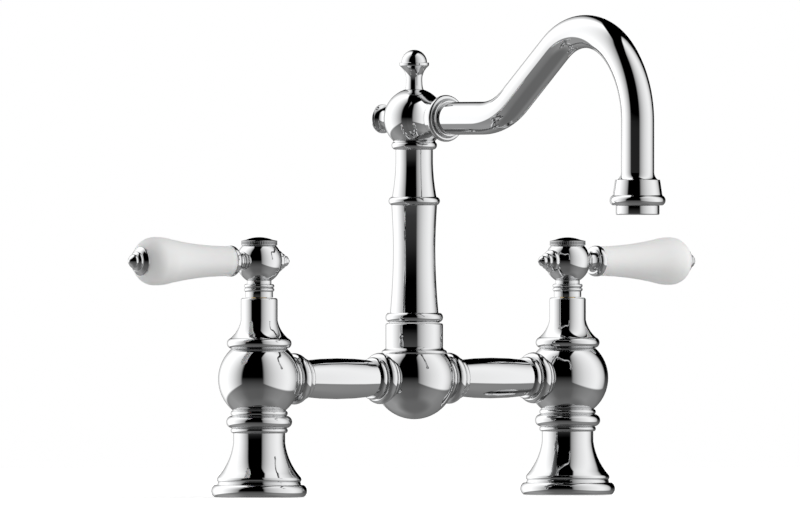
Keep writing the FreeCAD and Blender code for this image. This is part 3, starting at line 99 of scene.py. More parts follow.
def map_range(tree, value, span, levels, smooth=False):
    """Maps span's ends to the two levels, in a straight or a smooth run, clamped beyond them."""
    node = tree.nodes.new("ShaderNodeMapRange")
    if smooth:
        node.interpolation_type = "SMOOTHSTEP"
    for socket, number in zip(("From Min", "From Max", "To Min", "To Max"), (*span, *levels)):
        node.inputs[socket].default_value = number
    tree.links.new(value, node.inputs["Value"])
    return node.outputs["Result"]


NOISE_MIDDLE = (0.3, 0.7)       # where most of a noise's values lie


def spread(tree, fac, low, high):
    """Maps a noise's middle range to low..high."""
    return map_range(tree, fac, NOISE_MIDDLE, (low, high))


def bump(tree, shader, height, strength, distance):
    node = tree.nodes.new("ShaderNodeBump")
    node.inputs["Strength"].default_value = strength
    node.inputs["Distance"].default_value = distance
    tree.links.new(height, node.inputs["Height"])
    tree.links.new(node.outputs["Normal"], shader.inputs["Normal"])


def tint(tree, shader, fac, low, high):
    """Base colour that varies between two close tones."""
    mix = tree.nodes.new("ShaderNodeMix")
    mix.data_type = "RGBA"
    mix.inputs["A"].default_value = (*low, 1.0)
    mix.inputs["B"].default_value = (*high, 1.0)
    tree.links.new(fac, mix.inputs["Factor"])
    tree.links.new(mix.outputs["Result"], shader.inputs["Base Color"])


def chrome_material():
    """Polished chrome plate with the faintest polishing haze and waviness."""
    material, tree, shader = new_material("chrome")
    shader.inputs["Metallic"].default_value = 1.0
    tint(tree, shader, noise(tree, 60.0, 3.0), (0.585, 0.588, 0.592), (0.60, 0.603, 0.607))
    tree.links.new(spread(tree, noise(tree, 180.0, 4.0), 0.008, 0.022), shader.inputs["Roughness"])
    bump(tree, shader, noise(tree, 45.0, 2.0), 0.05, 0.0002)
    return material


def milled_painted_shade_material():
    """The cap's edge, cut with fine ridges: the same plate made rougher, with its base colour
    darkened as painted shade in the grooves between the ridges.
    """
    material, tree, shader = new_material("milled_painted_shade")
    shader.inputs["Metallic"].default_value = 1.0
    # Dark base colour: painted shade from the grooves between the ridges, with a little random
    # variation in tone.
    tint(tree, shader, noise(tree, 400.0, 3.0), (0.20, 0.202, 0.205), (0.25, 0.252, 0.255))
    tree.links.new(spread(tree, noise(tree, 600.0, 4.0), 0.18, 0.26), shader.inputs["Roughness"])
    bump(tree, shader, noise(tree, 900.0, 2.0), 0.15, 0.0001)
    return material


def porcelain_material():
    """White porcelain under a soft satin glaze."""
    material, tree, shader = new_material("porcelain")
    tint(tree, shader, noise(tree, 30.0, 4.0), (0.86, 0.86, 0.855), (0.885, 0.885, 0.88))
    tree.links.new(spread(tree, noise(tree, 90.0, 4.0), 0.38, 0.48), shader.inputs["Roughness"])
    shader.inputs["IOR"].default_value = 1.5
    shader.inputs["Specular IOR Level"].default_value = 0.35
    shader.inputs["Subsurface Weight"].default_value = 0.08
    shader.inputs["Subsurface Scale"].default_value = 0.002
    bump(tree, shader, noise(tree, 350.0, 3.0), 0.06, 0.0002)
    return material


def rubber_material():
    material, tree, shader = new_material("rubber")
    tint(tree, shader, noise(tree, 300.0, 4.0), (0.018, 0.018, 0.019), (0.035, 0.035, 0.036))
    shader.inputs["Roughness"].default_value = 0.7
    bump(tree, shader, noise(tree, 1500.0, 3.0), 0.3, 0.0002)
    return material


def turned_metal(name, low, high):
    """Machined metal with fine turning marks along the height."""
    material, tree, shader = new_material(name)
    shader.inputs["Metallic"].default_value = 1.0
    tint(tree, shader, noise(tree, 150.0, 4.0), low, high)
    place = tree.nodes.new("ShaderNodeTexCoord")
    rings = tree.nodes.new("ShaderNodeTexWave")
    rings.wave_type = "BANDS"
    rings.bands_direction = "Z"
    rings.inputs["Scale"].default_value = 900.0
    rings.inputs["Distortion"].default_value = 1.0
    tree.links.new(place.outputs["Object"], rings.inputs["Vector"])
    tree.links.new(spread(tree, noise(tree, 400.0, 3.0), 0.22, 0.36), shader.inputs["Roughness"])
    bump(tree, shader, rings.outputs["Fac"], 0.15, 0.0001)
    return material


def plastic_material():
    material, tree, shader = new_material("plastic")
    tint(tree, shader, noise(tree, 200.0, 3.0), (0.60, 0.61, 0.62), (0.66, 0.67, 0.68))
    shader.inputs["Roughness"].default_value = 0.45
    bump(tree, shader, noise(tree, 2500.0, 2.0), 0.15, 0.0001)
    return material


def disc_ceramic_material():
    material, tree, shader = new_material("disc_ceramic")
    tint(tree, shader, noise(tree, 500.0, 4.0), (0.74, 0.73, 0.70), (0.82, 0.81, 0.78))
    shader.inputs["Roughness"].default_value = 0.25
    bump(tree, shader, noise(tree, 3000.0, 2.0), 0.1, 0.0001)
    return material


MATERIALS = {
    "chrome": chrome_material(),
    # The cap's ridged edge; its dark base colour is painted groove shade.
    "milled_painted_shade": milled_painted_shade_material(),
    "porcelain": porcelain_material(),
    "rubber": rubber_material(),
    "brass": turned_metal("brass", (0.55, 0.38, 0.14), (0.64, 0.46, 0.19)),
    "steel": turned_metal("steel", (0.36, 0.36, 0.37), (0.46, 0.46, 0.47)),
    "plastic": plastic_material(),
    "disc_ceramic": disc_ceramic_material(),
}

slot_of = {part["node"]: part["material_slot"] for part in frame["record"]["subparts"]}
body_of = {}
for body, members in frame["record"]["behaviour"]["bodies"].items():
    for member in members:
        body_of[member] = body

for node_name, cad_object in frame["nodes"].items():
    cad_object.data.materials.clear()
    cad_object.data.materials.append(MATERIALS[slot_of[node_name]])


# ---------------------------------------------------------------- turned pieces
MM = 0.001
AROUND = 112                    # steps round a turned piece
ARC_STEP = math.radians(5.0)    # steps along an outline's arcs
EDGE_ROUND = 0.22               # millimetres by which polished edges are eased
EDGE_SHARE = 0.45               # share of the way to the next edge that easing may take
EDGE_STEPS = 5                  # points on each eased edge
CORNER = math.radians(14.0)     # an outline's bend sharper than this is eased
SHARP_ANGLE = math.radians(32.0)    # faces that meet at more than this are shaded apart


def arc(first, last, bulge):
    """Points after first on the arc to last; the bulge bows it outwards, or inwards if negative."""
    start, end = Vector(first[:2]), Vector(last[:2])
    run = end - start
    side = Vector((run.y, -run.x)).normalized() * math.copysign(1.0, bulge)
    along = run.normalized()
    rise = abs(bulge)
    radius = (run.length_squared / 4 + rise * rise) / (2 * rise)
    centre = (start + end) / 2 + side * (rise - radius)
    half = 2 * math.atan(2 * rise / run.length)
    steps = max(4, math.ceil(2 * half / ARC_STEP))
    points = []
    for step in range(1, steps + 1):
        turn = half * (2 * step / steps - 1)
        points.append(centre + radius * (math.cos(turn) * side + math.sin(turn) * along))
    return points


def trace(outline):
    """An outline of (radius, height[, bulge]) points as a plain run of points."""
    points = [Vector(outline[0][:2])]
    for first, last in zip(outline, outline[1:]):
        if len(last) > 2:
            points += arc(first, last, last[2])
        else:
            points.append(Vector(last[:2]))
    return points


def at_distance(points, index, step, distance):
    """The point this far along the run from points[index], and how many points it passes."""
    passed = 0
    here = points[index]
    left = distance
    while 0 <= index + step < len(points):
        there = points[index + step]
        gap = (there - here).length
        if gap >= left:
            return here.lerp(there, left / gap), passed
        left -= gap
        here = there
        index += step
        passed += 1
    return here, passed


def eased(points, size):
    """The run with its sharp edges rounded off by this much."""
    corners = []
    for index in range(1, len(points) - 1):
        before = points[index] - points[index - 1]
        after = points[index + 1] - points[index]
        if before.length > 1e-6 and after.length > 1e-6 and before.angle(after) > CORNER:
            corners.append(index)
    result = []
    skip_until = 0
    for index, point in enumerate(points):
        if index in corners:
            near = [(point - points[other]).length for other in corners if other != index]
            reach = min([size, *[gap * EDGE_SHARE for gap in near]])
            reach = min(reach, (points[-1] - point).length * EDGE_SHARE,
                        (point - points[0]).length * EDGE_SHARE)
            start, behind = at_distance(points, index, -1, reach)
            end, ahead = at_distance(points, index, 1, reach)
            if behind:
                del result[-behind:]
            for step in range(EDGE_STEPS):
                t = step / (EDGE_STEPS - 1)
                result.append(start * (1 - t) ** 2 + point * 2 * t * (1 - t) + end * t * t)
            skip_until = index + ahead
        elif index > skip_until or index == 0:
            result.append(point)
    return result


def add_piece(name, vertices, faces, node):
    """A smooth mesh that stands for one CAD node and rides on its body."""
    mesh = bpy.data.meshes.new(name)
    mesh.from_pydata(vertices, [], faces)
    mesh.validate()
    mesh.update()
    mesh.shade_smooth()
    mesh.set_sharp_from_angle(angle=SHARP_ANGLE)
    mesh.materials.append(MATERIALS[slot_of[node]])
    piece = bpy.data.objects.new(name, mesh)
    bpy.context.scene.collection.objects.link(piece)
    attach(piece, body_of[node])
    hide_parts(node)
    return piece


def lathe(node, outline, origin, direction=(0, 0, 1), bore=None, around=AROUND, milling=None,
          name=None):
    """A turned piece in a CAD node's place.

    Outline and bore are in millimetres from origin along direction; milling cuts ridges in a band.
    """
    points = eased(trace(outline), EDGE_ROUND)
    if bore:
        points += list(reversed(trace(bore)))
        points.append(points[0].copy())
    turn = Vector((0, 0, 1)).rotation_difference(Vector(direction)).to_matrix()
    place = Vector(origin)
    vertices, rings = [], []
    for point in points:
        if abs(point.x) < 1e-5:
            rings.append([len(vertices)])
            vertices.append(place + turn @ Vector((0, 0, point.y * MM)))
            continue
        ring = []
        for step in range(around):
            angle = 2 * math.pi * step / around
            radius = point.x
            if milling and milling["low"] < point.y < milling["high"]:
                radius -= milling["depth"] * (0.5 + 0.5 * math.cos(milling["ridges"] * angle))
            ring.append(len(vertices))
            spot = Vector((radius * math.cos(angle), radius * math.sin(angle), point.y)) * MM
            vertices.append(place + turn @ spot)
        rings.append(ring)
    faces = []
    for lower, upper in zip(rings, rings[1:]):
        for step in range(around):
            a, b = lower[step % len(lower)], lower[(step + 1) % len(lower)]
            c, d = upper[(step + 1) % len(upper)], upper[step % len(upper)]
            corners = [a, b, c, d]
            unique = [v for i, v in enumerate(corners) if v not in corners[:i]]
            if len(unique) > 2:
                faces.append(unique)
    piece = add_piece(name or node + "_turned", vertices, faces, node)
    # The ridged band takes the second material, whose dark base colour is painted shade from the
    # grooves.
    if milling:
        piece.data.materials.append(MATERIALS["milled_painted_shade"])
        milled_painted_shade_slot = len(piece.data.materials) - 1
        low, high = place.z + milling["low"] * MM, place.z + milling["high"] * MM
        for face in piece.data.polygons:
            steep = Vector(face.normal.xy).length > 0.5
            if steep and low < face.center.z < high:
                face.material_index = milled_painted_shade_slot
    return piece


# Outlines in millimetres: (radius, height along the axis, bulge of the run that ends there).
FOOT = [(22.35, 0.0), (22.35, 6.0, 1.65), (20.9, 6.0), (20.7, 7.3, 0.1), (20.6, 7.5),
        (20.9, 9.8, 0.45), (13.0, 27.0, -1.45), (13.0, 31.6)]
FOOT_BORE = [(20.05, 0.0), (20.05, 1.5), (17.9, 1.5), (17.9, 7.0), (11.45, 19.0), (11.45, 31.6)]
NECK_RING = [(13.0, 0.0), (13.0, 0.5), (13.6, 0.5), (13.6, 3.0, 0.7), (13.8, 3.0), (13.8, 9.1, 2.7),
             (13.6, 9.1), (13.6, 11.6, 0.7)]
NECK_RING_BORE = [(11.45, 0.0), (11.45, 11.6)]
VALVE_BODY = [(11.4, 0.0), (11.4, 43.2), (13.4, 43.2), (13.4, 43.55), (13.8, 74.491, 6.999)]
VALVE_BORE = [(7.5, 0.0), (7.5, 14.0), (5.5, 14.0), (5.5, 51.191), (9.95, 51.191), (9.95, 74.491)]
BONNET = [(14.3, 0.0), (14.5, 5.1, 1.8), (9.2, 14.1, -0.9), (9.2, 24.4), (8.3, 25.3, 0.225)]
BONNET_BORE = [(12.0, 0.0), (12.0, 3.6), (6.65, 8.6), (6.65, 21.5), (4.3, 21.5), (4.3, 25.3)]
HUB = [(0.0, 0.0), (6.9, 0.0), (6.9, 2.9), (6.7, 2.9), (6.7, 4.8, 0.9), (6.7, 6.7, 0.9), (6.1, 6.7),
       (6.1, 8.5), (8.4, 26.103, 4.188), (0.0, 26.103)]
HUB_CAP = [(0.0, 0.0), (8.75, 0.0), (9.05, 0.3), (9.05, 0.8), (9.05, 1.4), (9.05, 2.0), (9.05, 2.4),
           (6.6, 2.9), (0.0, 4.2, 0.328)]
FERRULE = [(4.6, 0.0), (4.6, 1.1, 0.25), (4.1, 1.1), (4.1, 1.4), (4.1, 2.5, 0.3), (4.1, 2.8),
           (5.6, 6.0, -0.4), (5.9, 6.0), (7.8, 8.0, 0.55), (7.8, 9.3), (6.35, 9.3)]
FERRULE_BORE = [(2.8, 0.0), (2.8, 7.3), (6.35, 7.3)]
GRIP = [(6.3, -1.95), (6.3, 0.0), (7.5, 0.0), (7.5, 4.0), (10.9, 38.1, -0.67), (12.1, 48.0, 0.35),
        (7.0, 56.8, 1.45), (2.8, 56.8)]
GRIP_BORE = [(2.8, -1.95)]
END_FINIAL = [(0.0, 0.0), (7.1, 0.0), (7.25, 0.4), (6.6, 1.15, 0.12), (5.1, 2.4, 0.06), (4.75, 2.5),
              (4.7, 3.35, 0.06), (3.6, 4.35, 0.06), (3.35, 4.45), (3.3, 5.5, 0.1), (1.4, 7.3, 0.12),
              (0.0, 8.05, 0.16)]
REAR_FINIAL = [(0.0, 0.0), (5.7, 0.0), (5.7, 1.4), (5.4, 2.15, 0.06), (4.2, 3.15, 0.05),
               (3.95, 3.25), (3.9, 4.8, 0.1), (2.8, 5.6, 0.05), (2.65, 5.7), (2.6, 7.3, 0.08),
               (1.1, 8.7, 0.08), (0.0, 9.65, 0.14)]
COLLAR = [(10.5, 0.0), (10.5, 2.1, 0.4), (11.2, 2.1), (11.2, 7.7, 1.7), (10.0, 7.7),
          (10.0, 11.05, 0.7)]
COLLAR_BORE = [(7.35, 0.0), (7.35, 11.05)]
BARREL = [(9.1, 0.0), (9.1, 44.054, 1.15)]
BARREL_BORE = [(5.5, 0.0), (5.5, 44.054)]
CENTRE_BODY = [(0.0, 38.596), (16.6, 71.394, 11.297), (16.2, 71.6), (16.0, 73.3, 0.35),
               (15.6, 73.5), (14.5, 75.5, -0.45), (14.5, 86.144), (13.7, 86.944, 0.2),
               (0.0, 86.944)]
COLUMN = [(0.0, 0.0), (12.8, 0.0), (12.8, 0.5), (13.3, 0.5), (13.3, 4.9, 1.2), (12.2, 4.9),
          (10.6, 37.65, -0.36), (11.5, 59.35, -0.15), (11.5, 63.45, 1.45), (11.2, 63.45),
          (9.4, 80.4, -0.35), (9.4, 87.4), (9.9, 87.4), (10.6, 91.2, 1.2), (10.6, 91.8),
          (0.0, 91.8)]
TOP_BALL = [(0.0, 0.0), (10.6, 0.0), (4.7, 25.837, 7.553), (0.0, 25.837)]
SPOUT_BOSS = [(0.0, 8.0), (12.9, 8.0), (12.5, 8.995), (9.4, 18.798, -0.78), (0.0, 18.798)]
TOP_FINIAL = [(0.0, 0.0), (4.7, 0.0), (4.1, 3.0, -0.15), (4.0, 4.6), (7.45, 12.1, -1.0),
              (7.45, 13.6), (6.45, 13.6), (0.0, 20.05, 1.889)]
REAR_PLUG = [(0.0, 14.346), (5.6, 14.346), (4.4, 17.346, -0.3), (4.4, 19.946), (7.3, 24.246, -0.8),
             (7.3, 25.146), (0.0, 27.346, 0.562)]
SPOUT_COLLAR = [(9.4, 0.0), (9.4, 2.8), (10.8, 4.4), (10.8, 7.4, 1.0), (10.1, 7.4), (9.0, 6.7),
                (9.0, 9.1, 0.35), (8.3, 9.1)]
SPOUT_COLLAR_BORE = [(8.3, 0.0)]
NOZZLE = [(12.35, -16.2), (12.35, -11.2, 1.6), (11.2, -3.4), (10.1, -3.4), (8.25, 0.0, -0.4)]
NOZZLE_BORE = [(10.35, -16.2), (10.35, -9.6), (5.5, -9.6), (5.5, 0.0)]
AERATOR = [(10.5, -4.7), (10.9, -4.3), (10.9, 0.0), (10.3, 0.0)]
AERATOR_BORE = [(8.0, -4.7), (8.0, -3.7), (9.0, -3.7), (9.0, 0.0)]
CAP_MILLING = {"low": 0.5, "high": 2.2, "depth": 0.08, "ridges": 64}
CAP_AROUND = 6 * CAP_MILLING["ridges"]

# Places in metres, as in the solids: heights of the axes, then distances along them.
VALVE_X = 0.1016
BALL_Z = 0.059196
HUB_Z = 0.118339
TOP_BALL_Z = 0.190216
LEVER_SEAT = 10.625 * MM
GRIP_START = 19.925 * MM
GRIP_END = 76.725 * MM
FINIAL_SEAT = 9.988 * MM
COLLAR_SEAT = 17.723 * MM
TUBE_START = 28.773 * MM
SPOUT_SEAT = 18.798 * MM
TURNING_GAP = 0.3 * MM


def raised(height):
    """This far straight up."""
    return Vector((0.0, 0.0, height))


def base_of(node):
    return raised(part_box(node)[0].z)


def top_of(node):
    return raised(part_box(node)[1].z)


for side, hand in (("right", 1.0), ("left", -1.0)):
    out = Vector((hand, 0.0, 0.0))
    axis = out * VALVE_X
    port = raised(BALL_Z)
    lever = axis + raised(HUB_Z)
    lathe(side + "_foot", FOOT, axis, bore=FOOT_BORE)
    lathe(side + "_neck_ring", NECK_RING, axis + base_of(side + "_neck_ring"), bore=NECK_RING_BORE)
    lathe(side + "_valve_body", VALVE_BODY, axis, bore=VALVE_BORE)
    lathe(side + "_bonnet", BONNET, axis + base_of(side + "_bonnet"), bore=BONNET_BORE)
    lathe(side + "_hub", HUB, axis + base_of(side + "_hub"))
    lathe(side + "_hub_cap", HUB_CAP, axis + top_of(side + "_hub"), around=CAP_AROUND,
          milling=CAP_MILLING)
    lathe(side + "_ferrule", FERRULE, lever + out * LEVER_SEAT, out, bore=FERRULE_BORE)
    lathe(side + "_grip", GRIP, lever + out * GRIP_START, out, bore=GRIP_BORE)
    lathe(side + "_end_finial", END_FINIAL, lever + out * GRIP_END, out)
    lathe(side + "_rear_finial", REAR_FINIAL, lever - out * FINIAL_SEAT, -out)
    lathe(side + "_centre_collar", COLLAR, port + out * COLLAR_SEAT, out, bore=COLLAR_BORE)
    lathe(side + "_bridge_tube", BARREL, port + out * TUBE_START, out, bore=BARREL_BORE)
    lathe(side + "_valve_collar", COLLAR, port + axis - out * COLLAR_SEAT, -out, bore=COLLAR_BORE)

FRONT = Vector((0.0, -1.0, 0.0))
top_centre = raised(TOP_BALL_Z)
column_base = top_of("centre_body") + raised(TURNING_GAP)
column_height = COLUMN[-1][1] * MM
lathe("centre_body", CENTRE_BODY, (0, 0, 0))
lathe("column", COLUMN, column_base)
lathe("top_ball", TOP_BALL, column_base + raised(column_height))
lathe("top_ball", SPOUT_BOSS, top_centre, FRONT, name="spout_boss")
lathe("top_finial", TOP_FINIAL, top_of("top_ball"))
lathe("rear_plug", REAR_PLUG, top_centre, -FRONT)
lathe("spout_collar", SPOUT_COLLAR, top_centre + FRONT * SPOUT_SEAT, FRONT, bore=SPOUT_COLLAR_BORE)


# ---------------------------------------------------------------- spout tube
# In millimetres and degrees: a run has a length, a bend a radius and a sweep, upwards if positive.
SPOUT_RADIUS = 8.25
SPOUT_START = 21.448
RUN_STEP = 4.0
BEND_STEP = 2.5
ROUTE = [("run", 32.25), ("bend", 38.8, 39.3), ("run", 41.0), ("bend", 36.6, -84.6),
         ("bend", 48.7, -44.7), ("run", 25.75)]


def spout_stations():
    """Points and headings along the tube's centreline, in millimetres forwards and up."""
    place, heading = Vector((SPOUT_START, TOP_BALL_Z / MM)), 0.0
    stations = [(place.copy(), heading)]
    for step in ROUTE:
        if step[0] == "run":
            count = max(2, round(step[1] / RUN_STEP))
            for index in range(1, count + 1):
                ahead = Vector((math.cos(heading), math.sin(heading))) * (step[1] * index / count)
                stations.append((place + ahead, heading))
        else:
            radius, sweep = step[1], math.radians(step[2])
            hand = math.copysign(1.0, sweep)
            middle = place + Vector((-math.sin(heading), math.cos(heading))) * (hand * radius)
            count = max(4, math.ceil(abs(step[2]) / BEND_STEP))
            for index in range(1, count + 1):
                now = heading + sweep * index / count
                spoke = Vector((math.sin(now), -math.cos(now))) * (hand * radius)
                stations.append((middle + spoke, now))
        place, heading = stations[-1][0].copy(), stations[-1][1]
    return stations


def spout_mesh():
    """Sweeps the tube's circle along its stations and returns where it ends."""
    stations = spout_stations()
    vertices, rings = [], []
    for place, heading in stations:
        forward = Vector((0.0, -math.cos(heading), math.sin(heading)))
        up = Vector((0.0, math.sin(heading), math.cos(heading)))
        side = forward.cross(up)
        centre_point = Vector((0.0, -place.x, place.y))
        ring = []
        for step in range(AROUND):
            angle = 2 * math.pi * step / AROUND
            spoke = (side * math.cos(angle) + up * math.sin(angle)) * SPOUT_RADIUS
            ring.append(len(vertices))
            vertices.append((centre_point + spoke) * MM)
        rings.append(ring)
    faces = []
    for lower, upper in zip(rings, rings[1:]):
        for step in range(AROUND):
            after = (step + 1) % AROUND
            faces.append((lower[step], lower[after], upper[after], upper[step]))
    faces.append(list(reversed(rings[0])))
    faces.append(rings[-1])
    add_piece("spout_tube_bent", vertices, faces, "spout_tube")
    return stations[-1][0]


tube_end = spout_mesh()
mouth = Vector((0.0, -tube_end.x * MM, tube_end.y * MM))
nozzle_bottom = raised(NOZZLE[0][1] * MM)
lathe("nozzle", NOZZLE, mouth, bore=NOZZLE_BORE)
lathe("aerator_shell", AERATOR, mouth + nozzle_bottom, bore=AERATOR_BORE)


# ---------------------------------------------------------------- studio
def math_node(tree, operation, first, second=None):
    node = tree.nodes.new("ShaderNodeMath")
    node.operation = operation
    for socket, value in zip(node.inputs, (first, second)):
        if value is None:
            continue
        if isinstance(value, (int, float)):
            socket.default_value = value
        else:
            tree.links.new(value, socket)
    return node.outputs[0]


def dot(tree, vector, direction):
    node = tree.nodes.new("ShaderNodeVectorMath")
    node.operation = "DOT_PRODUCT"
    node.inputs[1].default_value = direction
    tree.links.new(vector, node.inputs[0])
    return node.outputs["Value"]


HIGHEST_LEVEL = 2.0             # of the light levels below; a ramp holds no more than 1


def level_curve(tree, value, stops, low, high):
    """A level over low..high, from (place, level) stops."""
    ramp = tree.nodes.new("ShaderNodeValToRGB")
    tree.links.new(map_range(tree, value, (low, high), (0.0, 1.0)), ramp.inputs["Fac"])
    elements = ramp.color_ramp.elements
    while len(elements) > 1:
        elements.remove(elements[-1])
    for index, (spot, level) in enumerate(stops):
        position = (spot - low) / (high - low)
        if index == 0:
            element = elements[0]
            element.position = position
        else:
            element = elements.new(position)
        share = level / HIGHEST_LEVEL
        element.color = (share, share, share, 1.0)
    return math_node(tree, "MULTIPLY", ramp.outputs["Color"], HIGHEST_LEVEL)


# Each panel stands one unit away; its edges fade between the two numbers, in the same unit.
PANEL_REACH = (1.40, 1.92)
PANEL_BOTTOM = (-0.50, -0.40)
PANEL_TOP = (3.3, 4.0)
LEFT_PANEL = -110.0             # azimuths in degrees, clockwise from the camera's side
RIGHT_PANEL = 72.0


def soft_panel(tree, toward, sideways, height, facing):
    """How much a tall flat light panel fills each direction; facing is its azimuth in degrees."""
    turn = math.radians(facing)
    depth = math_node(tree, "ADD", math_node(tree, "MULTIPLY", toward, math.cos(turn)),
                      math_node(tree, "MULTIPLY", sideways, math.sin(turn)))
    across = math_node(tree, "SUBTRACT", math_node(tree, "MULTIPLY", sideways, math.cos(turn)),
                       math_node(tree, "MULTIPLY", toward, math.sin(turn)))
    safe = math_node(tree, "MAXIMUM", depth, 0.001)
    reach = math_node(tree, "ABSOLUTE", math_node(tree, "DIVIDE", across, safe))
    climb = math_node(tree, "DIVIDE", height, safe)
    inside = map_range(tree, reach, PANEL_REACH, (1.0, 0.0), smooth=True)
    above = map_range(tree, climb, PANEL_BOTTOM, (0.0, 1.0), smooth=True)
    below = map_range(tree, climb, PANEL_TOP, (1.0, 0.0), smooth=True)
    front = math_node(tree, "GREATER_THAN", depth, 0.001)
    return math_node(tree, "MULTIPLY", math_node(tree, "MULTIPLY", inside, above),
                     math_node(tree, "MULTIPLY", below, front))


# Light levels by azimuth, in degrees clockwise from the camera's side as seen from above.
PANEL_LEVELS = [(-172, 0.5), (-160, 0.8), (-150, 1.27), (-140, 1.68), (-128, 1.85), (-112, 1.8),
                (-100, 1.66), (-90, 1.48), (-80, 1.27), (-70, 1.0), (-60, 0.68), (-50, 0.4),
                (0, 0.3), (16, 0.42), (20, 0.54), (30, 0.78), (40, 0.96), (50, 1.12), (60, 1.23),
                (70, 1.32), (80, 1.4), (90, 1.44), (100, 1.37), (110, 1.19), (120, 0.95),
                (130, 0.55)]
GROUND_LEVELS = [(-180, 0.24), (-145, 0.44), (-110, 0.46), (-90, 0.38), (-75, 0.32), (-60, 0.25),
                 (-50, 0.19), (-38, 0.162), (0, 0.153), (12, 0.165), (22, 0.22), (40, 0.29),
                 (60, 0.345), (85, 0.375), (110, 0.345), (135, 0.31), (180, 0.24)]
FULL_CIRCLE = (-180.0, 180.0)
# The ground's light by how steeply one looks down: height of the direction, from -1 to 1.
HORIZON_LEVELS = [(-0.94, 1.1), (-0.5, 1.0), (-0.34, 0.76), (-0.26, 0.65), (-0.174, 0.5),
                  (-0.087, 0.33), (0.0, 0.17), (0.03, 0.08), (0.09, 0.0)]
STRAIGHT_DOWN = 0.19            # the ground's level where its azimuth no longer counts
DOWNWARD = (-0.97, -0.78)       # heights between which it stops counting


def make_studio():
    """Dark room with two tall soft panels and a grey ground; the camera itself sees plain white."""
    world = bpy.data.worlds.new("studio")
    bpy.context.scene.world = world
    world.use_nodes = True
    tree = world.node_tree
    tree.nodes.clear()
    direction = tree.nodes.new("ShaderNodeTexCoord").outputs["Generated"]
    toward = dot(tree, direction, to_camera)
    sideways = dot(tree, direction, camera_right)
    height = dot(tree, direction, (0.0, 0.0, 1.0))
    azimuth = math_node(tree, "DEGREES", math_node(tree, "ARCTAN2", sideways, toward))
    left = soft_panel(tree, toward, sideways, height, LEFT_PANEL)
    right = soft_panel(tree, toward, sideways, height, RIGHT_PANEL)
    panels = math_node(tree, "MAXIMUM", left, right)
    lit = math_node(tree, "MULTIPLY", panels,
                    level_curve(tree, azimuth, PANEL_LEVELS, *FULL_CIRCLE))
    around = math_node(tree, "MULTIPLY", level_curve(tree, azimuth, GROUND_LEVELS, *FULL_CIRCLE),
                       map_range(tree, height, DOWNWARD, (0.0, 1.0), smooth=True))
    below = map_range(tree, height, DOWNWARD, (STRAIGHT_DOWN, 0.0), smooth=True)
    ground = math_node(tree, "MULTIPLY", math_node(tree, "ADD", around, below),
                       level_curve(tree, height, HORIZON_LEVELS, -1.0, 1.0))
    open_part = math_node(tree, "SUBTRACT", 1.0, panels)
    level = math_node(tree, "ADD", lit, math_node(tree, "MULTIPLY", ground, open_part))
    studio = tree.nodes.new("ShaderNodeBackground")
    tree.links.new(level, studio.inputs["Color"])
    plain = tree.nodes.new("ShaderNodeBackground")
    plain.inputs["Color"].default_value = (1.0, 1.0, 1.0, 1.0)
    rays = tree.nodes.new("ShaderNodeLightPath")
    mix = tree.nodes.new("ShaderNodeMixShader")
    tree.links.new(rays.outputs["Is Camera Ray"], mix.inputs["Fac"])
    tree.links.new(studio.outputs["Background"], mix.inputs[1])
    tree.links.new(plain.outputs["Background"], mix.inputs[2])
    output = tree.nodes.new("ShaderNodeOutputWorld")
    tree.links.new(mix.outputs["Shader"], output.inputs["Surface"])


FLOOR_TONE = 0.75
FLOOR_FILL = 0.5                # brings the lit floor up to white for the camera
FLOOR_RADIUS = 1.6
FLOOR_DROP = 0.0003             # keeps it clear of the feet's undersides


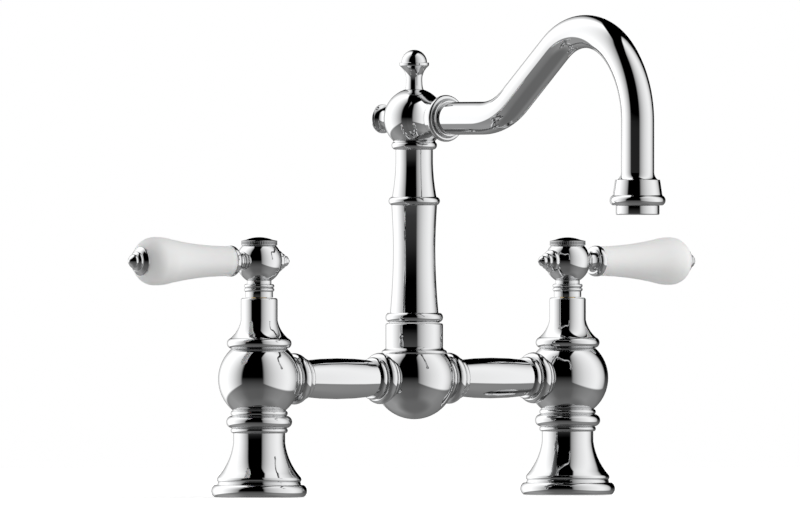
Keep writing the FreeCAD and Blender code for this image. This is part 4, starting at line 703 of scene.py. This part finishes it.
def make_floor():
    """Pale floor that keeps the faucet's soft shadow; metal sees the studio's ground instead."""
    material = bpy.data.materials.new("floor")
    material.use_nodes = True
    tree = material.node_tree
    tree.nodes.clear()
    rays = tree.nodes.new("ShaderNodeLightPath")
    pale = tree.nodes.new("ShaderNodeBsdfDiffuse")
    pale.inputs["Color"].default_value = (FLOOR_TONE, FLOOR_TONE, FLOOR_TONE, 1.0)
    fill = tree.nodes.new("ShaderNodeEmission")
    tree.links.new(math_node(tree, "MULTIPLY", rays.outputs["Is Camera Ray"], FLOOR_FILL),
                   fill.inputs["Strength"])
    both = tree.nodes.new("ShaderNodeAddShader")
    tree.links.new(pale.outputs["BSDF"], both.inputs[0])
    tree.links.new(fill.outputs["Emission"], both.inputs[1])
    clear = tree.nodes.new("ShaderNodeBsdfTransparent")
    mirrored = math_node(tree, "MAXIMUM", rays.outputs["Is Glossy Ray"],
                         rays.outputs["Is Transmission Ray"])
    mix = tree.nodes.new("ShaderNodeMixShader")
    tree.links.new(mirrored, mix.inputs["Fac"])
    tree.links.new(both.outputs["Shader"], mix.inputs[1])
    tree.links.new(clear.outputs["BSDF"], mix.inputs[2])
    output = tree.nodes.new("ShaderNodeOutputMaterial")
    tree.links.new(mix.outputs["Shader"], output.inputs["Surface"])
    bpy.ops.mesh.primitive_circle_add(vertices=96, radius=FLOOR_RADIUS, fill_type="NGON",
                                      location=(0, 0, -FLOOR_DROP))
    floor = bpy.context.active_object
    floor.name = "floor"
    floor.data.materials.append(material)


FILL_AZIMUTH = 85.0             # degrees clockwise from the camera's side
FILL_HEIGHT = 38.0              # degrees above the deck
FILL_DISTANCE = 3.0
FILL_SIZE = 1.6
FILL_POWER = 26.0


def make_fill():
    """Large soft lamp for the porcelain; the chrome mirrors only the two panels."""
    data = bpy.data.lights.new("fill", "AREA")
    data.shape = "DISK"
    data.size = FILL_SIZE
    data.energy = FILL_POWER
    turn, tilt = math.radians(FILL_AZIMUTH), math.radians(FILL_HEIGHT)
    level = to_camera * math.cos(turn) + camera_right * math.sin(turn)
    ray = level * math.cos(tilt) + raised(math.sin(tilt))
    lamp = bpy.data.objects.new("fill", data)
    bpy.context.scene.collection.objects.link(lamp)
    lamp.location = ray * FILL_DISTANCE + raised(CAMERA_HEIGHT)
    lamp.rotation_mode = "QUATERNION"
    lamp.rotation_quaternion = (-ray).to_track_quat("-Z", "Y")
    lamp.visible_glossy = False


make_studio()
make_floor()
make_fill()
make_camera()
bpy.context.scene.view_settings.view_transform = "Standard"
